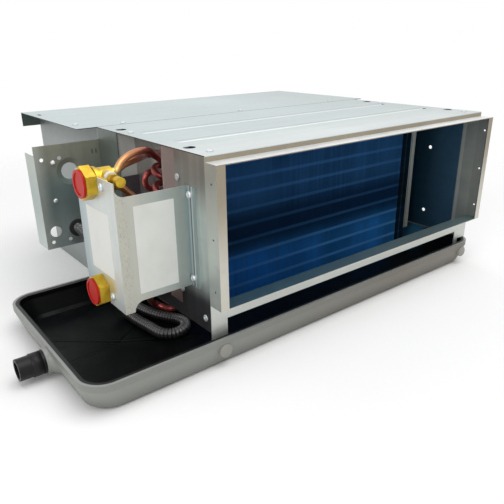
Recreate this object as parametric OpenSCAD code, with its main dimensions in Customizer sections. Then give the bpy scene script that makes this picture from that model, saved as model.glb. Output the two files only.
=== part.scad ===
// Ducted fan coil unit: galvanised casing with an outlet collar, finned water coil over a
// drain pan, copper branches to two capped brass connectors, and a fan bay with a
// double-shaft motor, two scroll fans and a return-air filter.
// Working frame: x = 0 on the casing's left side, y = 0 on the outlet face, z = 0 on the floor.

/* [Casing] */
// Overall height
unit_h = 241; // [236:1:256]
// Width of the casing and of its outlet
casing_w = 511; // [480:1:640]
// Depth of the outlet collar
collar_d = 20; // [12:1:24]
// Height of the outlet collar
outlet_h = 160; // [140:1:166]
// Drop from the roof to the collar's top
step_h = 6.3; // [4:0.1:12]
// Width of the collar's front lips
lip_w = 11; // [6:1:18]
// Depth of the coil bay, from the collar to the fan deck
coil_bay_d = 259; // [252:1:300]
// Depth of the fan bay
fan_bay_d = 237.5; // [232:0.5:280]
// Sheet thickness
sheet_t = 1; // [0.8:0.1:1.5]
// Radius of the pressed roof beads
bead_r = 10; // [8:1:14]
// Depth of the pressed roof beads
bead_depth = 1.2; // [0.6:0.1:1.6]
// Distance of the first roof bead from the outlet face
bead_y1 = 106; // [96:1:120]
// Distance of the second roof bead from the outlet face
bead_y2 = 190; // [170:1:210]
// Diameter of the hanging holes
hang_d = 14; // [8:1:16]
// Distance of the hanging holes from the casing's sides
hang_inset = 14; // [12:1:24]
// Distance of the front hanging holes from the outlet face
hang_y1 = 70; // [60:1:85]
// Distance between the front and rear hanging holes
hang_span = 165; // [140:1:172]
// Overhang of the rear cover on the connection side
cover_over_l = 28; // [20:1:40]
// Overhang of the rear cover on the far side
cover_over_r = 21; // [14:1:40]
// Height of the rear rails
rail_h = 21; // [12:1:30]
// Bottom of the casing's side plates
side_bot = 40; // [38:1:50]
// Start of the side window
window_y1 = 80; // [70:1:90]
// End of the side window
window_y2 = 220; // [214:1:230]
// Bottom of the side window
window_z = 55; // [52:1:70]
// Diameter of the duct fixing holes
duct_hole_d = 3; // [2:0.5:6]
// Diameter of the casing screws' heads
casing_head_d = 8; // [6:0.5:9]
// Height of the casing screws' heads
casing_head_h = 1.6; // [1:0.1:2.5]

/* [Coil] */
// Gap between the casing's left side and the near tube sheet
left_gap = 25; // [24:1:30]
// Gap between the far tube sheet and the casing's right side
right_gap = 46.5; // [36:0.5:60]
// Distance of the first tube row from the outlet face
row1_y = 134; // [130:1:140]
// Distance between the tube rows
row_pitch = 19.05; // [17:0.05:21]
// Vertical distance between tubes
tube_pitch = 21.8; // [20:0.1:22]
// Drop from the roof to the top tubes
top_tube_drop = 23.3; // [20:0.1:24]
// Number of tubes in the front row
row_tubes = 10; // [6:2:10]
// Outer diameter of the tubes
tube_d = 8; // [6:0.5:9]
// Wall of the tubes
tube_wall = 0.5; // [0.3:0.1:1]
// Length of the tube ends outside the sheets
tube_stub = 4; // [3:0.5:5]
// Distance between the drawn fin plates
fin_pitch = 12; // [8:1:24]
// Thickness of a drawn fin plate
fin_t = 0.6; // [0.4:0.1:1.2]
// Distance of the tube sheets' front flanges from the outlet face
flange_y = 109; // [104:1:114]
// Width of the far tube sheet's front flange
flange_w = 12; // [8:1:20]
// Thickness of the foam pad in the coil's end pocket
foam_t = 4; // [2:1:6]
// Top of the foam pad
foam_top = 183; // [160:1:200]

/* [Drain pan] */
// Reach of the pan past the casing on the connection side
pan_left = 153; // [140:1:170]
// Reach of the pan past the casing on the far side
pan_right = 5; // [3:1:20]
// Distance of the pan's front rim from the outlet face
pan_front = 6; // [2:1:7]
// Distance of the pan's rear rim from the fan deck
pan_rear_gap = 9; // [6:1:14]
// Height of the pan
pan_h = 36.7; // [34:0.1:37]
// Thickness of the pan's floor
pan_floor = 3; // [2:0.5:4]
// Width of the pan's rim
rim_w = 7; // [5:0.5:8]
// Height of the rim's straight outer face
rim_h = 7; // [4:0.5:10]
// Draft of the pan's walls, from rim to floor
pan_draft = 8; // [4:1:10]
// Corner radius of the rim
pan_corner = 30; // [24:1:40]
// Thickness of the black lining
liner_t = 1.2; // [0.8:0.1:1.6]
// Radius of the hanger bosses
boss_r = 8; // [6:0.5:9]
// Height of the hanger bosses' axes
boss_z = 21; // [19:1:23]
// Outer diameter of the drain nozzle
nozzle_d = 25; // [20:1:26]
// Bore of the drain nozzle
nozzle_bore = 19; // [12:1:19]
// Length of the drain nozzle outside its neck
nozzle_len = 29; // [20:1:40]
// Length of the flared neck
neck_len = 5; // [4:1:12]
// Distance of the drain nozzle from the outlet face
nozzle_y = 120; // [90:1:160]
// Height of the drain nozzle's axis
nozzle_z = 18.7; // [17:0.1:19]
// Height of the hanger strip
hanger_h = 22; // [16:1:26]
// Width of the hanger's left leg
leg_l = 22; // [18:1:30]
// Width of the hanger's right leg
leg_r = 31; // [26:1:36]
// Distance of the left hanger boss from the casing's side
boss_in_l = 9; // [8.5:0.5:12]
// Distance of the right hanger boss from the casing's side
boss_in_r = 26; // [24:0.5:28]
// Width of the right leg's foot, inside the pan
foot_r = 10; // [8:0.5:11]

/* [Water connections] */
// Distance of the bracket's outer face from the casing
bracket_x = 84; // [80:1:92]
// Distance of the bracket's front plate from the outlet face
bracket_y = 55; // [52:1:58]
// Depth of the bracket's side plate
bracket_d = 95; // [90:1:110]
// Thickness of the bracket
bracket_t = 1.2; // [1:0.1:1.6]
// Top of the bracket's side plate
bracket_top = 219.7; // [216:0.1:224]
// Bottom of the bracket's side plate
bracket_bot = 77.7; // [74:0.1:82]
// Top of the bracket's front plate
front_top = 204.7; // [200:0.1:208]
// Bottom of the bracket's front plate
front_bot = 88.7; // [86:0.1:92]
// Width of the strip that fixes the bracket to the casing
strip_w = 15; // [12:1:18]
// Distance of both connectors from the outlet face
conn_y = 108; // [104:1:112]
// Height of the upper connector's axis
conn_up_z = 211.7; // [208:0.1:214]
// Height of the lower connector's axis
conn_low_z = 89.7; // [86:0.1:94]
// Size across flats of the connector's hexagon
hex_af = 32; // [30:1:34]
// Length of the connector's hexagon
hex_len = 11; // [9:1:16]
// Outer radius of the connector's body
body_r = 14; // [13.5:0.1:14.5]
// Length of the connector's body behind the bracket
body_len = 22; // [20:1:26]
// Radius of the connector's threaded mouth
mouth_r = 12.05; // [11:0.05:12.5]
// Depth of the connector's threaded mouth
mouth_depth = 18; // [14:1:20]
// Distance between the two screws of a connector's flange
flange_span = 52; // [48:1:56]
// Outer diameter of the red caps
cap_d = 30; // [28:1:32]
// Thickness of the red caps' heads
cap_t = 2.5; // [2:0.5:4]
// Length of the red caps' plugs
plug_len = 7.4; // [5:0.1:10]
// Distance of the air vent from the bracket's outer face
vent_in = 14; // [12:1:18]
// Rise of the air vent over the connector's axis
vent_rise = 5.3; // [3:0.1:6]
// Diameter of the vent screw's head
knob_d = 10.5; // [8:0.5:12]
// Length of the vent screw's head
knob_len = 7.8; // [5:0.1:9]
// Diameter of the vent screw's stem
stem_d = 3; // [2.5:0.1:4]
// Outer diameter of the branch pipes
pipe_d = 8; // [6:0.5:8]
// Radius of the ears on a connector's flange
conn_ear_r = 8; // [7:0.5:9]
// Radius of the boss that carries the air vent
vent_boss_r = 7; // [6:0.5:8]
// Size across flats of the air vent's hexagon
vent_af = 11; // [10:0.5:13]

/* [Connection plate] */
// Width of the connection plate
plate_w = 88; // [84:1:96]
// Top of the connection plate
plate_top = 224.7; // [214:0.1:230]
// Bottom of the connection plate
plate_bot = 85.7; // [80:0.1:92]
// Depth of the connection plate's side flange
plate_flange = 36; // [24:1:44]
// Radius of the dished cable entry
entry_r = 11; // [8:1:12]
// Radius of the dish round the cable entry
dish_r = 19; // [16:1:20]
// Radius of the spare cable hole
spare_r = 7.5; // [5:0.5:8]
// Distance of the cable entry and the grommet from the casing
entry_x = 44; // [42:1:48]
// Distance of the spare hole from the casing
spare_x = 74; // [72:1:76]
// Height of the cable entry
entry_z = 187.9; // [180:0.1:192]
// Height of the spare hole and the grommet
grommet_z = 109; // [107:1:111]
// Outer radius of the grommet
grommet_r = 12; // [11:0.5:13.5]
// Outer diameter of the conduit
conduit_d = 14; // [12:0.5:14]
// Width of the plug on the conduit's end
plug_w = 20; // [18:1:24]
// Length of the plug on the conduit's end
plug_l = 30; // [24:1:40]
// Height of the plug on the conduit's end
plug_h = 16; // [14:1:20]
// Width of one way of the terminal block
term_way = 9; // [7:0.5:10]
// Depth of the terminal block
term_d = 16; // [12:1:20]
// Height of the terminal block
term_h = 22; // [18:1:26]

/* [Fans] */
// Diameter of the fan wheels
wheel_d = 130; // [120:1:132]
// Width of the fan wheels
wheel_w = 140; // [120:1:144]
// Number of blades on a wheel
blade_n = 28; // [20:1:32]
// Radial depth of the blades
blade_d = 13; // [10:1:16]
// Thickness of the blades and wheel discs
blade_t = 1.2; // [1:0.1:2]
// Diameter of the motor shaft
shaft_d = 10; // [8:0.5:11]
// Distance of the fan axis from the fan deck
axis_in = 115; // [112:1:125]
// Height of the fan axis
axis_z = 112; // [108:1:118]
// Width of a scroll housing
scroll_w = 156; // [152:1:162]
// Distance of the housings from the casing's sides
scroll_inset = 35; // [28:1:38]
// Gap between the wheel and the scroll at the cut-off
cutoff_gap = 5; // [4:1:7]
// Growth of the scroll's radius from the cut-off to the outlet
scroll_growth = 28; // [22:1:30]
// Radius of the housings' inlets
inlet_r = 50; // [44:1:52]
// Diameter of the motor
motor_d = 96; // [88:1:98]
// Length of the motor
motor_len = 90; // [84:1:96]
// Wall of the motor's shell
motor_wall = 3; // [2:0.5:4]
// Outer diameter of the rotor
rotor_d = 56; // [48:1:58]
// Length of the rotor and stator
core_len = 50; // [40:1:54]
// Outer diameter of the bearings
bearing_d = 26; // [22:1:28]
// Width of the bearings
bearing_w = 8; // [6:1:9]
// Width of the run capacitor
capacitor_w = 38; // [30:1:46]
// Depth of the run capacitor
capacitor_d = 16; // [12:1:22]
// Height of the run capacitor
capacitor_h = 26; // [20:1:32]
// Drop from the roof to the run capacitor
capacitor_drop = 24; // [12:1:30]

/* [Filter] */
// Thickness of the filter frame
filter_t = 9; // [7:0.5:10]
// Width of the filter frame's bars
filter_bar = 14; // [10:1:20]
// Distance between the ribs of the filter's backing
rib_pitch = 20; // [16:1:30]
// Width of the ribs of the filter's backing
rib_w = 2; // [1:0.5:3]

/* [Hidden] */
$fn = 64;
// Clearances: seated, sliding and running fits
seat = 0.2;
slide_gap = 0.3;
run_gap = 0.05;
cut = 1;

// Main planes
deck_y = collar_d + coil_bay_d;
back_y = deck_y + fan_bay_d;
roof_z = unit_h - sheet_t;
collar_top = unit_h - step_h;
collar_bot = collar_top - outlet_h;
inner_w = casing_w - 2 * sheet_t;
// Places of the casing screws: on the roof and the rear cover as [x, y], and one on the left side
casing_screw_r = 1.6;
casing_screw_l = 6;
roof_screws = [for (x = [0, 1]) each [
    [abs(x * casing_w - hang_inset + 1), bead_y2 + 15],
    [abs(x * casing_w - hang_inset - 5), collar_d + 18.5]]];
cover_screws = [[44, deck_y + 12], [casing_w / 2 - 4.5, deck_y + 12], [casing_w - 53, deck_y + 12],
    [-cover_over_l / 2 + 0.6, deck_y + 42]];
side_screw = [window_y1 - 5, unit_h - 31];
// Coil
sheet_l = left_gap;
sheet_r = casing_w - right_gap;
tube_r = tube_d / 2;
top_tube_z = unit_h - top_tube_drop;
rows = [row1_y, row1_y + row_pitch, row1_y + 2 * row_pitch];
fin_y0 = row1_y - row_pitch / 2;
fin_y1 = rows[2] + row_pitch / 2;
fin_z1 = top_tube_z + tube_pitch / 2;
fin_z0 = top_tube_z - (row_tubes - 0.5) * tube_pitch;
flange_z = pan_h + 3;
sheet_top = roof_z - bead_depth - slide_gap;
sheet_y1 = window_y2 + 2;
// Drain pan
pan_x0 = -pan_left;
pan_x1 = casing_w + pan_right;
pan_y1 = deck_y - pan_rear_gap;
boss_x = [boss_in_l, casing_w - boss_in_r];
leg_bot = boss_z - boss_r + 3;
leg_step = pan_h + 2;
leg_span = [[0, leg_l], [casing_w - leg_r, casing_w - leg_r + foot_r]];
rear_boss_x = [casing_w * 0.15, casing_w * 0.85];
boss_end = collar_d;
rear_leg_y = pan_y1 - rim_w - pan_draft - 2;
rear_leg_w = 30;
neck_x = pan_x0 - neck_len;
nozzle_in = pan_x0 + rim_w / 2 + 2;
liner_top = pan_floor + liner_t + seat;
// Water connections
hex_x1 = -bracket_x - seat;
hex_x0 = hex_x1 - hex_len;
body_x1 = -bracket_x + body_len;
conn_flange_x = -bracket_x + bracket_t + seat;
conn_flange_t = 3.6;
conn_flange_x1 = conn_flange_x + conn_flange_t;
conn_ring = 2;
conn_floor = 3;
vent_x = -bracket_x + vent_in;
vent_z = conn_up_z + vent_rise;
vent_boss_y = conn_y - body_r - 2;
stub_x = sheet_l - tube_stub;
// Fans
axis_y = deck_y + axis_in;
wheel_r = wheel_d / 2;
cutoff_r = wheel_r + cutoff_gap;
cutoff_a = 20;
shaft_r = shaft_d / 2;
mid_x = casing_w / 2;
motor_r = motor_d / 2;
motor_x0 = mid_x - motor_len / 2;
motor_x1 = mid_x + motor_len / 2;
wheel_in = scroll_inset + (scroll_w - wheel_w) / 2;
shaft_margin = 18;
shaft_x0 = wheel_in + wheel_w / 2 - shaft_margin;
shaft_x1 = casing_w - shaft_x0;
saddle_x = [motor_x0 + 14, motor_x1 - 14];
// Filter
filter_y0 = back_y - sheet_t - slide_gap - filter_t;
filter_x0 = sheet_t + slide_gap;
filter_z0 = sheet_t + slide_gap;
filter_z1 = roof_z - slide_gap;
// Placing: the origin is below the middle of the unit
place_x = (casing_w + cover_over_r + neck_x - nozzle_len) / 2;
place_y = back_y / 2;

// Routes in the working frame. A branch leaves its connector at a place given in shares of
// body_r, runs through points given as [share of the way across, bow in y, bow in z] with the
// bows in pipe diameters, and ends straight in a tube
branch_start = 2.5;
branch_end = 3.5;
mid_k = row_tubes / 2;
last_k = row_tubes - 1;
function into_tube(row, k) = [for (i = [2 : -1 : 0])
    [stub_x - i * branch_end, rows[row], tube_z(row, k)]];
function from_body(y, z) = [for (i = [0 : 2]) [body_x1 + i * branch_start, y, z]];
function branch(conn_z, leave, bows, row, k) = let (
    out = from_body(conn_y + leave[0] * body_r, conn_z + leave[1] * body_r),
    into = into_tube(row, k),
    way = into[0] - out[2])
    concat(out, [for (p = bows) out[2] + p[0] * way + pipe_d * [0, p[1], p[2]]], into);
front_branch_route = branch(conn_up_z, [-0.286, 0.571],
    [[0.132, 0.07, 1.07], [0.332, 0.26, 1.68], [0.57, 0.49, 1.81], [0.761, 0.52, 1.54],
    [0.887, 0.36, 0.7]],
    0, 0);
rear_branch_route = branch(conn_up_z, [0.321, 0.25],
    [[0.179, -0.58, 0.61], [0.383, -0.92, 0.73], [0.639, -1.07, 0.59], [0.859, -0.46, 0.21]],
    2, 0);
mid_branch_route = branch(conn_up_z, [-0.071, -0.607],
    [[0.085, -0.16, 0.67], [0.2, -0.05, 1.09], [0.346, 0.08, 1.56], [0.521, 0.12, 1.13],
    [0.69, 0.17, 0.13], [0.845, 0.15, -0.67]],
    0, mid_k);
low_front_route = branch(conn_low_z, [0, -0.5],
    [[0.169, -0.17, 1.02], [0.338, 0.03, 1.62], [0.521, 1.43, 0.77], [0.662, 2.6, -0.52],
    [0.761, 3.15, -1.02], [0.859, 2.96, -0.89], [0.93, 1.98, -0.72], [0.958, 1.01, -0.51]],
    0, last_k);
low_rear_route = branch(conn_low_z, [0.464, 0.143],
    [[0.169, -0.25, 1.25], [0.352, 0.12, 2.4], [0.563, 1.47, 3.09], [0.732, 2.29, 3.09],
    [0.873, 1.98, 2.51], [0.901, 1.72, 0.97], [0.93, 0.83, -0.07]],
    1, last_k - 1);
low_mid_route = branch(conn_low_z, [-0.357, 0.357],
    [[0.169, -0.5, -0.11], [0.338, -0.61, -0.01], [0.577, 0.77, 0.74], [0.803, 0.98, 0.54]],
    1, mid_k - 1);
// The conduit: straight out of the grommet, through points given in shares of entry_x, of deck_y
// and of the grommet's height over the conduit's rest, and straight into its plug
grommet_out = 3;
conduit_lead = 5;
conduit_z = liner_top + conduit_d / 2 + 3 * seat;
conduit_x1 = -entry_x * 0.227;
plug_y = deck_y * 0.7;
conduit_shape = [
    [1, 0.903, 0.959], [0.977, 0.86, 0.856], [0.932, 0.821, 0.691], [0.886, 0.785, 0.485],
    [0.841, 0.749, 0.278], [0.773, 0.706, 0.113], [0.705, 0.649, 0.021], [0.659, 0.584, 0],
    [0.625, 0.52, 0], [0.568, 0.455, 0], [0.523, 0.394, 0], [0.464, 0.36, 0],
    [0.305, 0.334, 0], [0.084, 0.325, 0], [-0.136, 0.334, 0], [-0.295, 0.36, 0],
    [-0.355, 0.394, 0], [-0.295, 0.437, 0], [-0.136, 0.48, 0], [0.023, 0.527, 0],
    [0.136, 0.577, 0], [0.205, 0.624, 0]];
conduit_route = concat(
    [for (i = [0 : 2]) [-entry_x, deck_y - grommet_out - run_gap - i * conduit_lead, grommet_z]],
    [for (p = conduit_shape)
        [-entry_x * p[0], deck_y * p[1], conduit_z + (grommet_z - conduit_z) * p[2]]],
    [for (i = [2 : -1 : 0]) [conduit_x1, plug_y - run_gap - i * conduit_lead, conduit_z]]);

// Puts a piece from the working frame into the part's own frame
module placed() {
    translate([-place_x, -place_y, 0]) children();
}

// Block between two corners
module block(low, high) {
    translate(low) cube(high - low);
}

// Rod along x, y or z from one place to another
module rod_x(x0, x1, y, z, r) {
    translate([x0, y, z]) rotate([0, 90, 0]) cylinder(h = x1 - x0, r = r);
}

module rod_y(y0, y1, x, z, r) {
    translate([x, y0, z]) rotate([-90, 0, 0]) cylinder(h = y1 - y0, r = r);
}

module rod_z(z0, z1, x, y, r) {
    translate([x, y, z0]) cylinder(h = z1 - z0, r = r);
}

// Hexagonal bar along x with a flat on top
module hex_x(x0, x1, y, z, flats) {
    translate([x0, y, z]) rotate([0, 90, 0]) cylinder(h = x1 - x0, r = flats / sqrt(3), $fn = 6);
}

// Flat outline drawn in y and z, given a thickness along x
module slab_x(x0, t) {
    translate([x0, 0, 0]) rotate([90, 0, 90]) linear_extrude(t) children();
}

// Flat outline drawn in x and z, given a thickness along y
module slab_y(y0, t) {
    translate([0, y0 + t, 0]) rotate([90, 0, 0]) linear_extrude(t) children();
}

// Four upright posts of a rounded rectangle, to be hulled
module corner_posts(x0, x1, y0, y1, r, z, h) {
    for (x = [x0 + r, x1 - r], y = [y0 + r, y1 - r])
        translate([x, y, z]) cylinder(h = h, r = r, $fn = 48);
}

// Smooth curve through route points: a Catmull-Rom spline with the ends held
function spline_point(p0, p1, p2, p3, t) =
    0.5 * (2 * p1 + (p2 - p0) * t + (2 * p0 - 5 * p1 + 4 * p2 - p3) * t * t
        + (3 * p1 - p0 - 3 * p2 + p3) * t * t * t);
function spline(route, steps) = let (n = len(route)) concat(
    [for (i = [0 : n - 2], s = [0 : steps - 1])
        spline_point(route[max(i - 1, 0)], route[i], route[i + 1], route[min(i + 2, n - 1)], s / steps)],
    [route[n - 1]]);
function unit(v) = v / norm(v);
function tangent(path, i) = unit(path[min(i + 1, len(path) - 1)] - path[max(i - 1, 0)]);
function square_to(n, t) = unit(n - (n * t) * t);

// Round tube swept along a path, with rings turned as little as possible
module swept_tube(path, r, sides) {
    count = len(path);
    normals = [for (i = 0, n = square_to([0.3, 0.2, 1], tangent(path, 0)); i < count;
        i = i + 1, n = i < count ? square_to(n, tangent(path, i)) : n) n];
    points = [for (i = [0 : count - 1], k = [0 : sides - 1])
        let (t = tangent(path, i), a = 360 * k / sides)
        path[i] + r * (cos(a) * normals[i] + sin(a) * cross(t, normals[i]))];
    walls = [for (i = [0 : count - 2], k = [0 : sides - 1])
        let (a = i * sides + k, b = i * sides + (k + 1) % sides)
        [a, a + sides, b + sides, b]];
    polyhedron(points, concat([[for (k = [0 : sides - 1]) k]], walls,
        [[for (k = [sides - 1 : -1 : 0]) (count - 1) * sides + k]]), convexity = 10);
}

// Roof over the coil bay, with two pressed beads and four hanging holes
module top_panel() {
    bead_z = unit_h + bead_r - bead_depth;
    bead_end = 22;
    placed() color("#c9d0d2") difference() {
        union() {
            block([0, collar_d, roof_z], [casing_w, deck_y, unit_h]);
            for (y = [bead_y1, bead_y2]) intersection() {
                rod_x(bead_end, casing_w - bead_end, y, bead_z, bead_r + sheet_t);
                block([bead_end, y - bead_r, roof_z - bead_depth],
                    [casing_w - bead_end, y + bead_r, unit_h]);
            }
        }
        for (y = [bead_y1, bead_y2])
            rod_x(bead_end + sheet_t, casing_w - bead_end - sheet_t, y, bead_z, bead_r);
        for (x = [hang_inset, casing_w - hang_inset], y = [hang_y1, hang_y1 + hang_span])
            rod_z(roof_z - cut, unit_h + cut, x, y, hang_d / 2);
        for (p = roof_screws)
            rod_z(roof_z - cut, unit_h + cut, p[0], p[1], casing_screw_r + seat);
    }
}

// Cover over the fan bay, with the filter's upper rail at the back
module rear_cover() {
    slot_l = 14;
    slot_w = 5;
    slot_at = [-cover_over_l + 12, back_y - 54.5];
    placed() color("#c3ccce") difference() {
        union() {
            block([-cover_over_l, deck_y, roof_z], [casing_w + cover_over_r, back_y, unit_h]);
            block([-cover_over_l, back_y - sheet_t, roof_z - rail_h],
                [casing_w + cover_over_r, back_y, roof_z]);
        }
        hull() for (y = [-1, 1])
            rod_z(roof_z - cut, unit_h + cut, slot_at[0], slot_at[1] + y * (slot_l - slot_w) / 2,
                slot_w / 2);
        for (p = cover_screws)
            rod_z(roof_z - cut, unit_h + cut, p[0], p[1], casing_screw_r + seat);
    }
}

// Screws of the roof, the rear cover and the left side plate
module casing_screws() {
    head_r = casing_head_d / 2;
    placed() color("#c9ced0") {
        for (p = concat(roof_screws, cover_screws)) union() {
            rod_z(unit_h, unit_h + casing_head_h, p[0], p[1], head_r);
            rod_z(unit_h - casing_screw_l, unit_h, p[0], p[1], casing_screw_r);
        }
        rod_x(-casing_head_h, 0, side_screw[0], side_screw[1], head_r);
        rod_x(0, casing_screw_l, side_screw[0], side_screw[1], casing_screw_r);
    }
}

// Outlet collar with its frame plate, front lips and duct fixing holes
module outlet_collar() {
    hole_rows = [0.13, 0.5, 0.87];
    placed() color("#b9c1c1") difference() {
        union() {
            block([0, 0, collar_bot], [casing_w, collar_d, collar_top]);
            block([0, collar_d, collar_bot], [casing_w, collar_d + sheet_t, roof_z]);
        }
        block([lip_w, -cut, collar_bot + sheet_t],
            [casing_w - lip_w, collar_d + sheet_t + cut, collar_top - sheet_t]);
        block([sheet_t, sheet_t, collar_bot + sheet_t],
            [casing_w - sheet_t, collar_d + sheet_t + cut, collar_top - sheet_t]);
        for (h = hole_rows)
            rod_x(-cut, casing_w + cut, collar_d / 2, collar_bot + h * outlet_h, duct_hole_d / 2);
    }
}

// Casing side round the coil's end pocket, open upwards
module left_side_plate() {
    placed() color("#98a09c") difference() {
        block([0, collar_d + sheet_t, side_bot], [sheet_t, deck_y, roof_z]);
        block([-cut, window_y1, window_z], [sheet_t + cut, window_y2, roof_z + cut]);
        for (z = strip_screw_z)
            rod_x(-cut, sheet_t + cut, bracket_y - strip_w / 3, z, screw_r + seat);
        rod_x(-cut, sheet_t + cut, side_screw[0], side_screw[1], casing_screw_r + seat);
    }
}

// Plain casing side, far from the connections
module right_side_plate() {
    hole_r = 3;
    hole_y = flange_y - 7;
    hole_up = collar_top - outlet_h * 0.37;
    far_bot = pan_h + slide_gap;
    hole_low = far_bot + (collar_bot - far_bot) * 0.76;
    placed() color("#98a09c") difference() {
        block([casing_w - sheet_t, collar_d + sheet_t, far_bot], [casing_w, deck_y, roof_z]);
        for (z = [hole_low, hole_up])
            rod_x(casing_w - sheet_t - cut, casing_w + cut, hole_y, z, hole_r);
    }
}

// Bulkhead between the coil bay and the fan bay, with the two fan outlets
module fan_deck() {
    mouth_bot = axis_z - cutoff_r * sin(cutoff_a) + sheet_t;
    mouth_top = axis_z + cutoff_r + scroll_growth - sheet_t;
    placed() color("#a6aeae") difference() {
        block([0, deck_y, 0], [casing_w, deck_y + sheet_t, roof_z]);
        for (x = [scroll_inset, casing_w - scroll_inset - scroll_w])
            block([x + sheet_t, deck_y - cut, mouth_bot],
                [x + scroll_w - sheet_t, deck_y + sheet_t + cut, mouth_top]);
    }
}

// Fan bay side on the connection side; its end stops the filter
module plenum_left_panel() {
    placed() color("#a9b1b1")
        block([0, deck_y + sheet_t, sheet_t], [sheet_t, back_y - sheet_t, roof_z]);
}

// Fan bay side where the filter is drawn out
module plenum_right_panel() {
    placed() color("#a9b1b1")
        block([casing_w - sheet_t, deck_y + sheet_t, sheet_t], [casing_w, filter_y0 - slide_gap, roof_z]);
}

// Fan bay floor, with the filter's lower rail
module plenum_bottom_panel() {
    placed() color("#a9b1b1") union() {
        block([0, deck_y + sheet_t, 0], [casing_w, back_y, sheet_t]);
        block([0, back_y - sheet_t, sheet_t], [casing_w, back_y, rail_h]);
    }
}

// Outer and inner forms of the pan, drafted from the rim to the floor
module pan_form(inset, z0) {
    floor_in = inset + pan_draft;
    hull() {
        corner_posts(pan_x0 + inset, pan_x1 - inset, pan_front + inset, pan_y1 - inset,
            pan_corner - inset, pan_h - rim_h, rim_h + (z0 > 0 ? cut : 0));
        corner_posts(pan_x0 + floor_in, pan_x1 - floor_in, pan_front + floor_in, pan_y1 - floor_in,
            pan_corner - inset, z0 + 4, 1);
        corner_posts(pan_x0 + floor_in + 4, pan_x1 - floor_in - 4, pan_front + floor_in + 4,
            pan_y1 - floor_in - 4, pan_corner - inset - 4, z0, 1);
    }
}

// Bosses inside the pan's walls where the hanger's legs are screwed on
module pan_bosses(grow) {
    wall_mid = rim_w / 2 + pan_draft / 2;
    for (x = boss_x)
        rod_y(pan_front + wall_mid, boss_end, x, boss_z, boss_r + grow);
    for (x = rear_boss_x)
        rod_y(rear_leg_y + sheet_t, pan_y1 - wall_mid, x, boss_z, boss_r + grow);
}

// Drain pan with rim, drafted walls, hanger bosses and a flared drain neck
module drain_pan() {
    neck_r = nozzle_d / 2 + 3.5;
    inner_x = pan_x0 + rim_w + pan_draft;
    placed() color("#8d918f") difference() {
        union() {
            difference() {
                union() {
                    pan_form(0, 0);
                    translate([neck_x, nozzle_y, nozzle_z]) rotate([0, 90, 0])
                        cylinder(h = inner_x - neck_x, r1 = nozzle_d / 2 + 2, r2 = neck_r);
                }
                pan_form(rim_w, pan_floor);
            }
            pan_bosses(0);
        }
        rod_x(neck_x - cut, nozzle_in + seat, nozzle_y, nozzle_z, nozzle_d / 2 + seat);
        rod_x(pan_x0, inner_x + pan_draft, nozzle_y, nozzle_z, nozzle_bore / 2);
        for (x = boss_x)
            rod_y(-cut, boss_end - 3, x, boss_z, boss_r - 2.5);
    }
}

// Black lining on the pan's floor and walls
module pan_liner() {
    placed() color("#151617") difference() {
        intersection() {
            pan_form(rim_w + seat, pan_floor + seat);
            block([pan_x0, pan_front, 0], [pan_x1, pan_y1, pan_h - 1]);
        }
        pan_form(rim_w + seat + liner_t, pan_floor + seat + liner_t);
        pan_bosses(slide_gap);
        for (leg = leg_span)
            block([leg[0] - slide_gap, pan_front, leg_bot - slide_gap],
                [leg[1] + slide_gap, collar_d + sheet_t + slide_gap, pan_h]);
        rod_x(pan_x0, pan_x0 + rim_w + 2 * pan_draft, nozzle_y, nozzle_z, nozzle_bore / 2);
    }
}

// Drain nozzle, pressed into the pan's neck
module drain_nozzle() {
    placed() color("#202122") difference() {
        union() {
            rod_x(neck_x - nozzle_len, nozzle_in, nozzle_y, nozzle_z, nozzle_d / 2);
            rod_x(neck_x - 3, neck_x, nozzle_y, nozzle_z, nozzle_d / 2 + 1);
        }
        rod_x(neck_x - nozzle_len - cut, nozzle_in + cut, nozzle_y, nozzle_z, nozzle_bore / 2);
    }
}

// Strip under the collar whose two legs hold the pan's front wall
module pan_hanger() {
    placed() color("#c4cac8") difference() {
        union() {
            block([0, collar_d, collar_bot - hanger_h], [casing_w, collar_d + sheet_t, collar_bot]);
            for (leg = leg_span)
                block([leg[0], collar_d, leg_bot], [leg[1], collar_d + sheet_t, collar_bot]);
            block([casing_w - leg_r, collar_d, leg_step], [casing_w, collar_d + sheet_t, collar_bot]);
        }
        for (x = boss_x)
            rod_y(collar_d - cut, collar_d + sheet_t + cut, x, boss_z, screw_r);
    }
}

// Two clips that hold the pan's rear wall from the fan deck
module pan_rear_bracket() {
    web_z = pan_h + 6;
    clip_h = 28;
    placed() color("#b4bbba") for (x = rear_boss_x) union() {
        block([x - rear_leg_w / 2, rear_leg_y, boss_z - boss_r],
            [x + rear_leg_w / 2, rear_leg_y + sheet_t, web_z]);
        block([x - rear_leg_w / 2, rear_leg_y, web_z], [x + rear_leg_w / 2, deck_y, web_z + sheet_t]);
        block([x - rear_leg_w / 2, deck_y - sheet_t, web_z],
            [x + rear_leg_w / 2, deck_y, web_z + clip_h]);
    }
}

// Height of tube k in a row; the middle row is set half a pitch lower
function tube_z(row, k) = top_tube_z - (k + (row == 1 ? 0.5 : 0)) * tube_pitch;
// The two rear rows have one tube less than the front row
function row_count(row) = row == 0 ? row_tubes : row_tubes - 1;

// Holes for all tubes, drawn in y and z
module tube_holes(r) {
    for (row = [0 : 2], k = [0 : row_count(row) - 1])
        translate([rows[row], tube_z(row, k)]) circle(r);
}

// Ring section of a tube
module tube_ring() {
    difference() {
        circle(tube_r);
        circle(tube_r - tube_wall);
    }
}

// Half-turn bend between two tube ends at x, opening towards the coil
module u_bend(x, a, b, side) {
    gap = b - a;
    turn = atan2(gap[1], gap[0]);
    translate([x, (a[0] + b[0]) / 2, (a[1] + b[1]) / 2]) rotate([turn, 0, 0]) rotate([0, 0, side * 90])
        rotate_extrude(angle = 180) translate([norm(gap) / 2, 0]) tube_ring();
}

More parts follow.
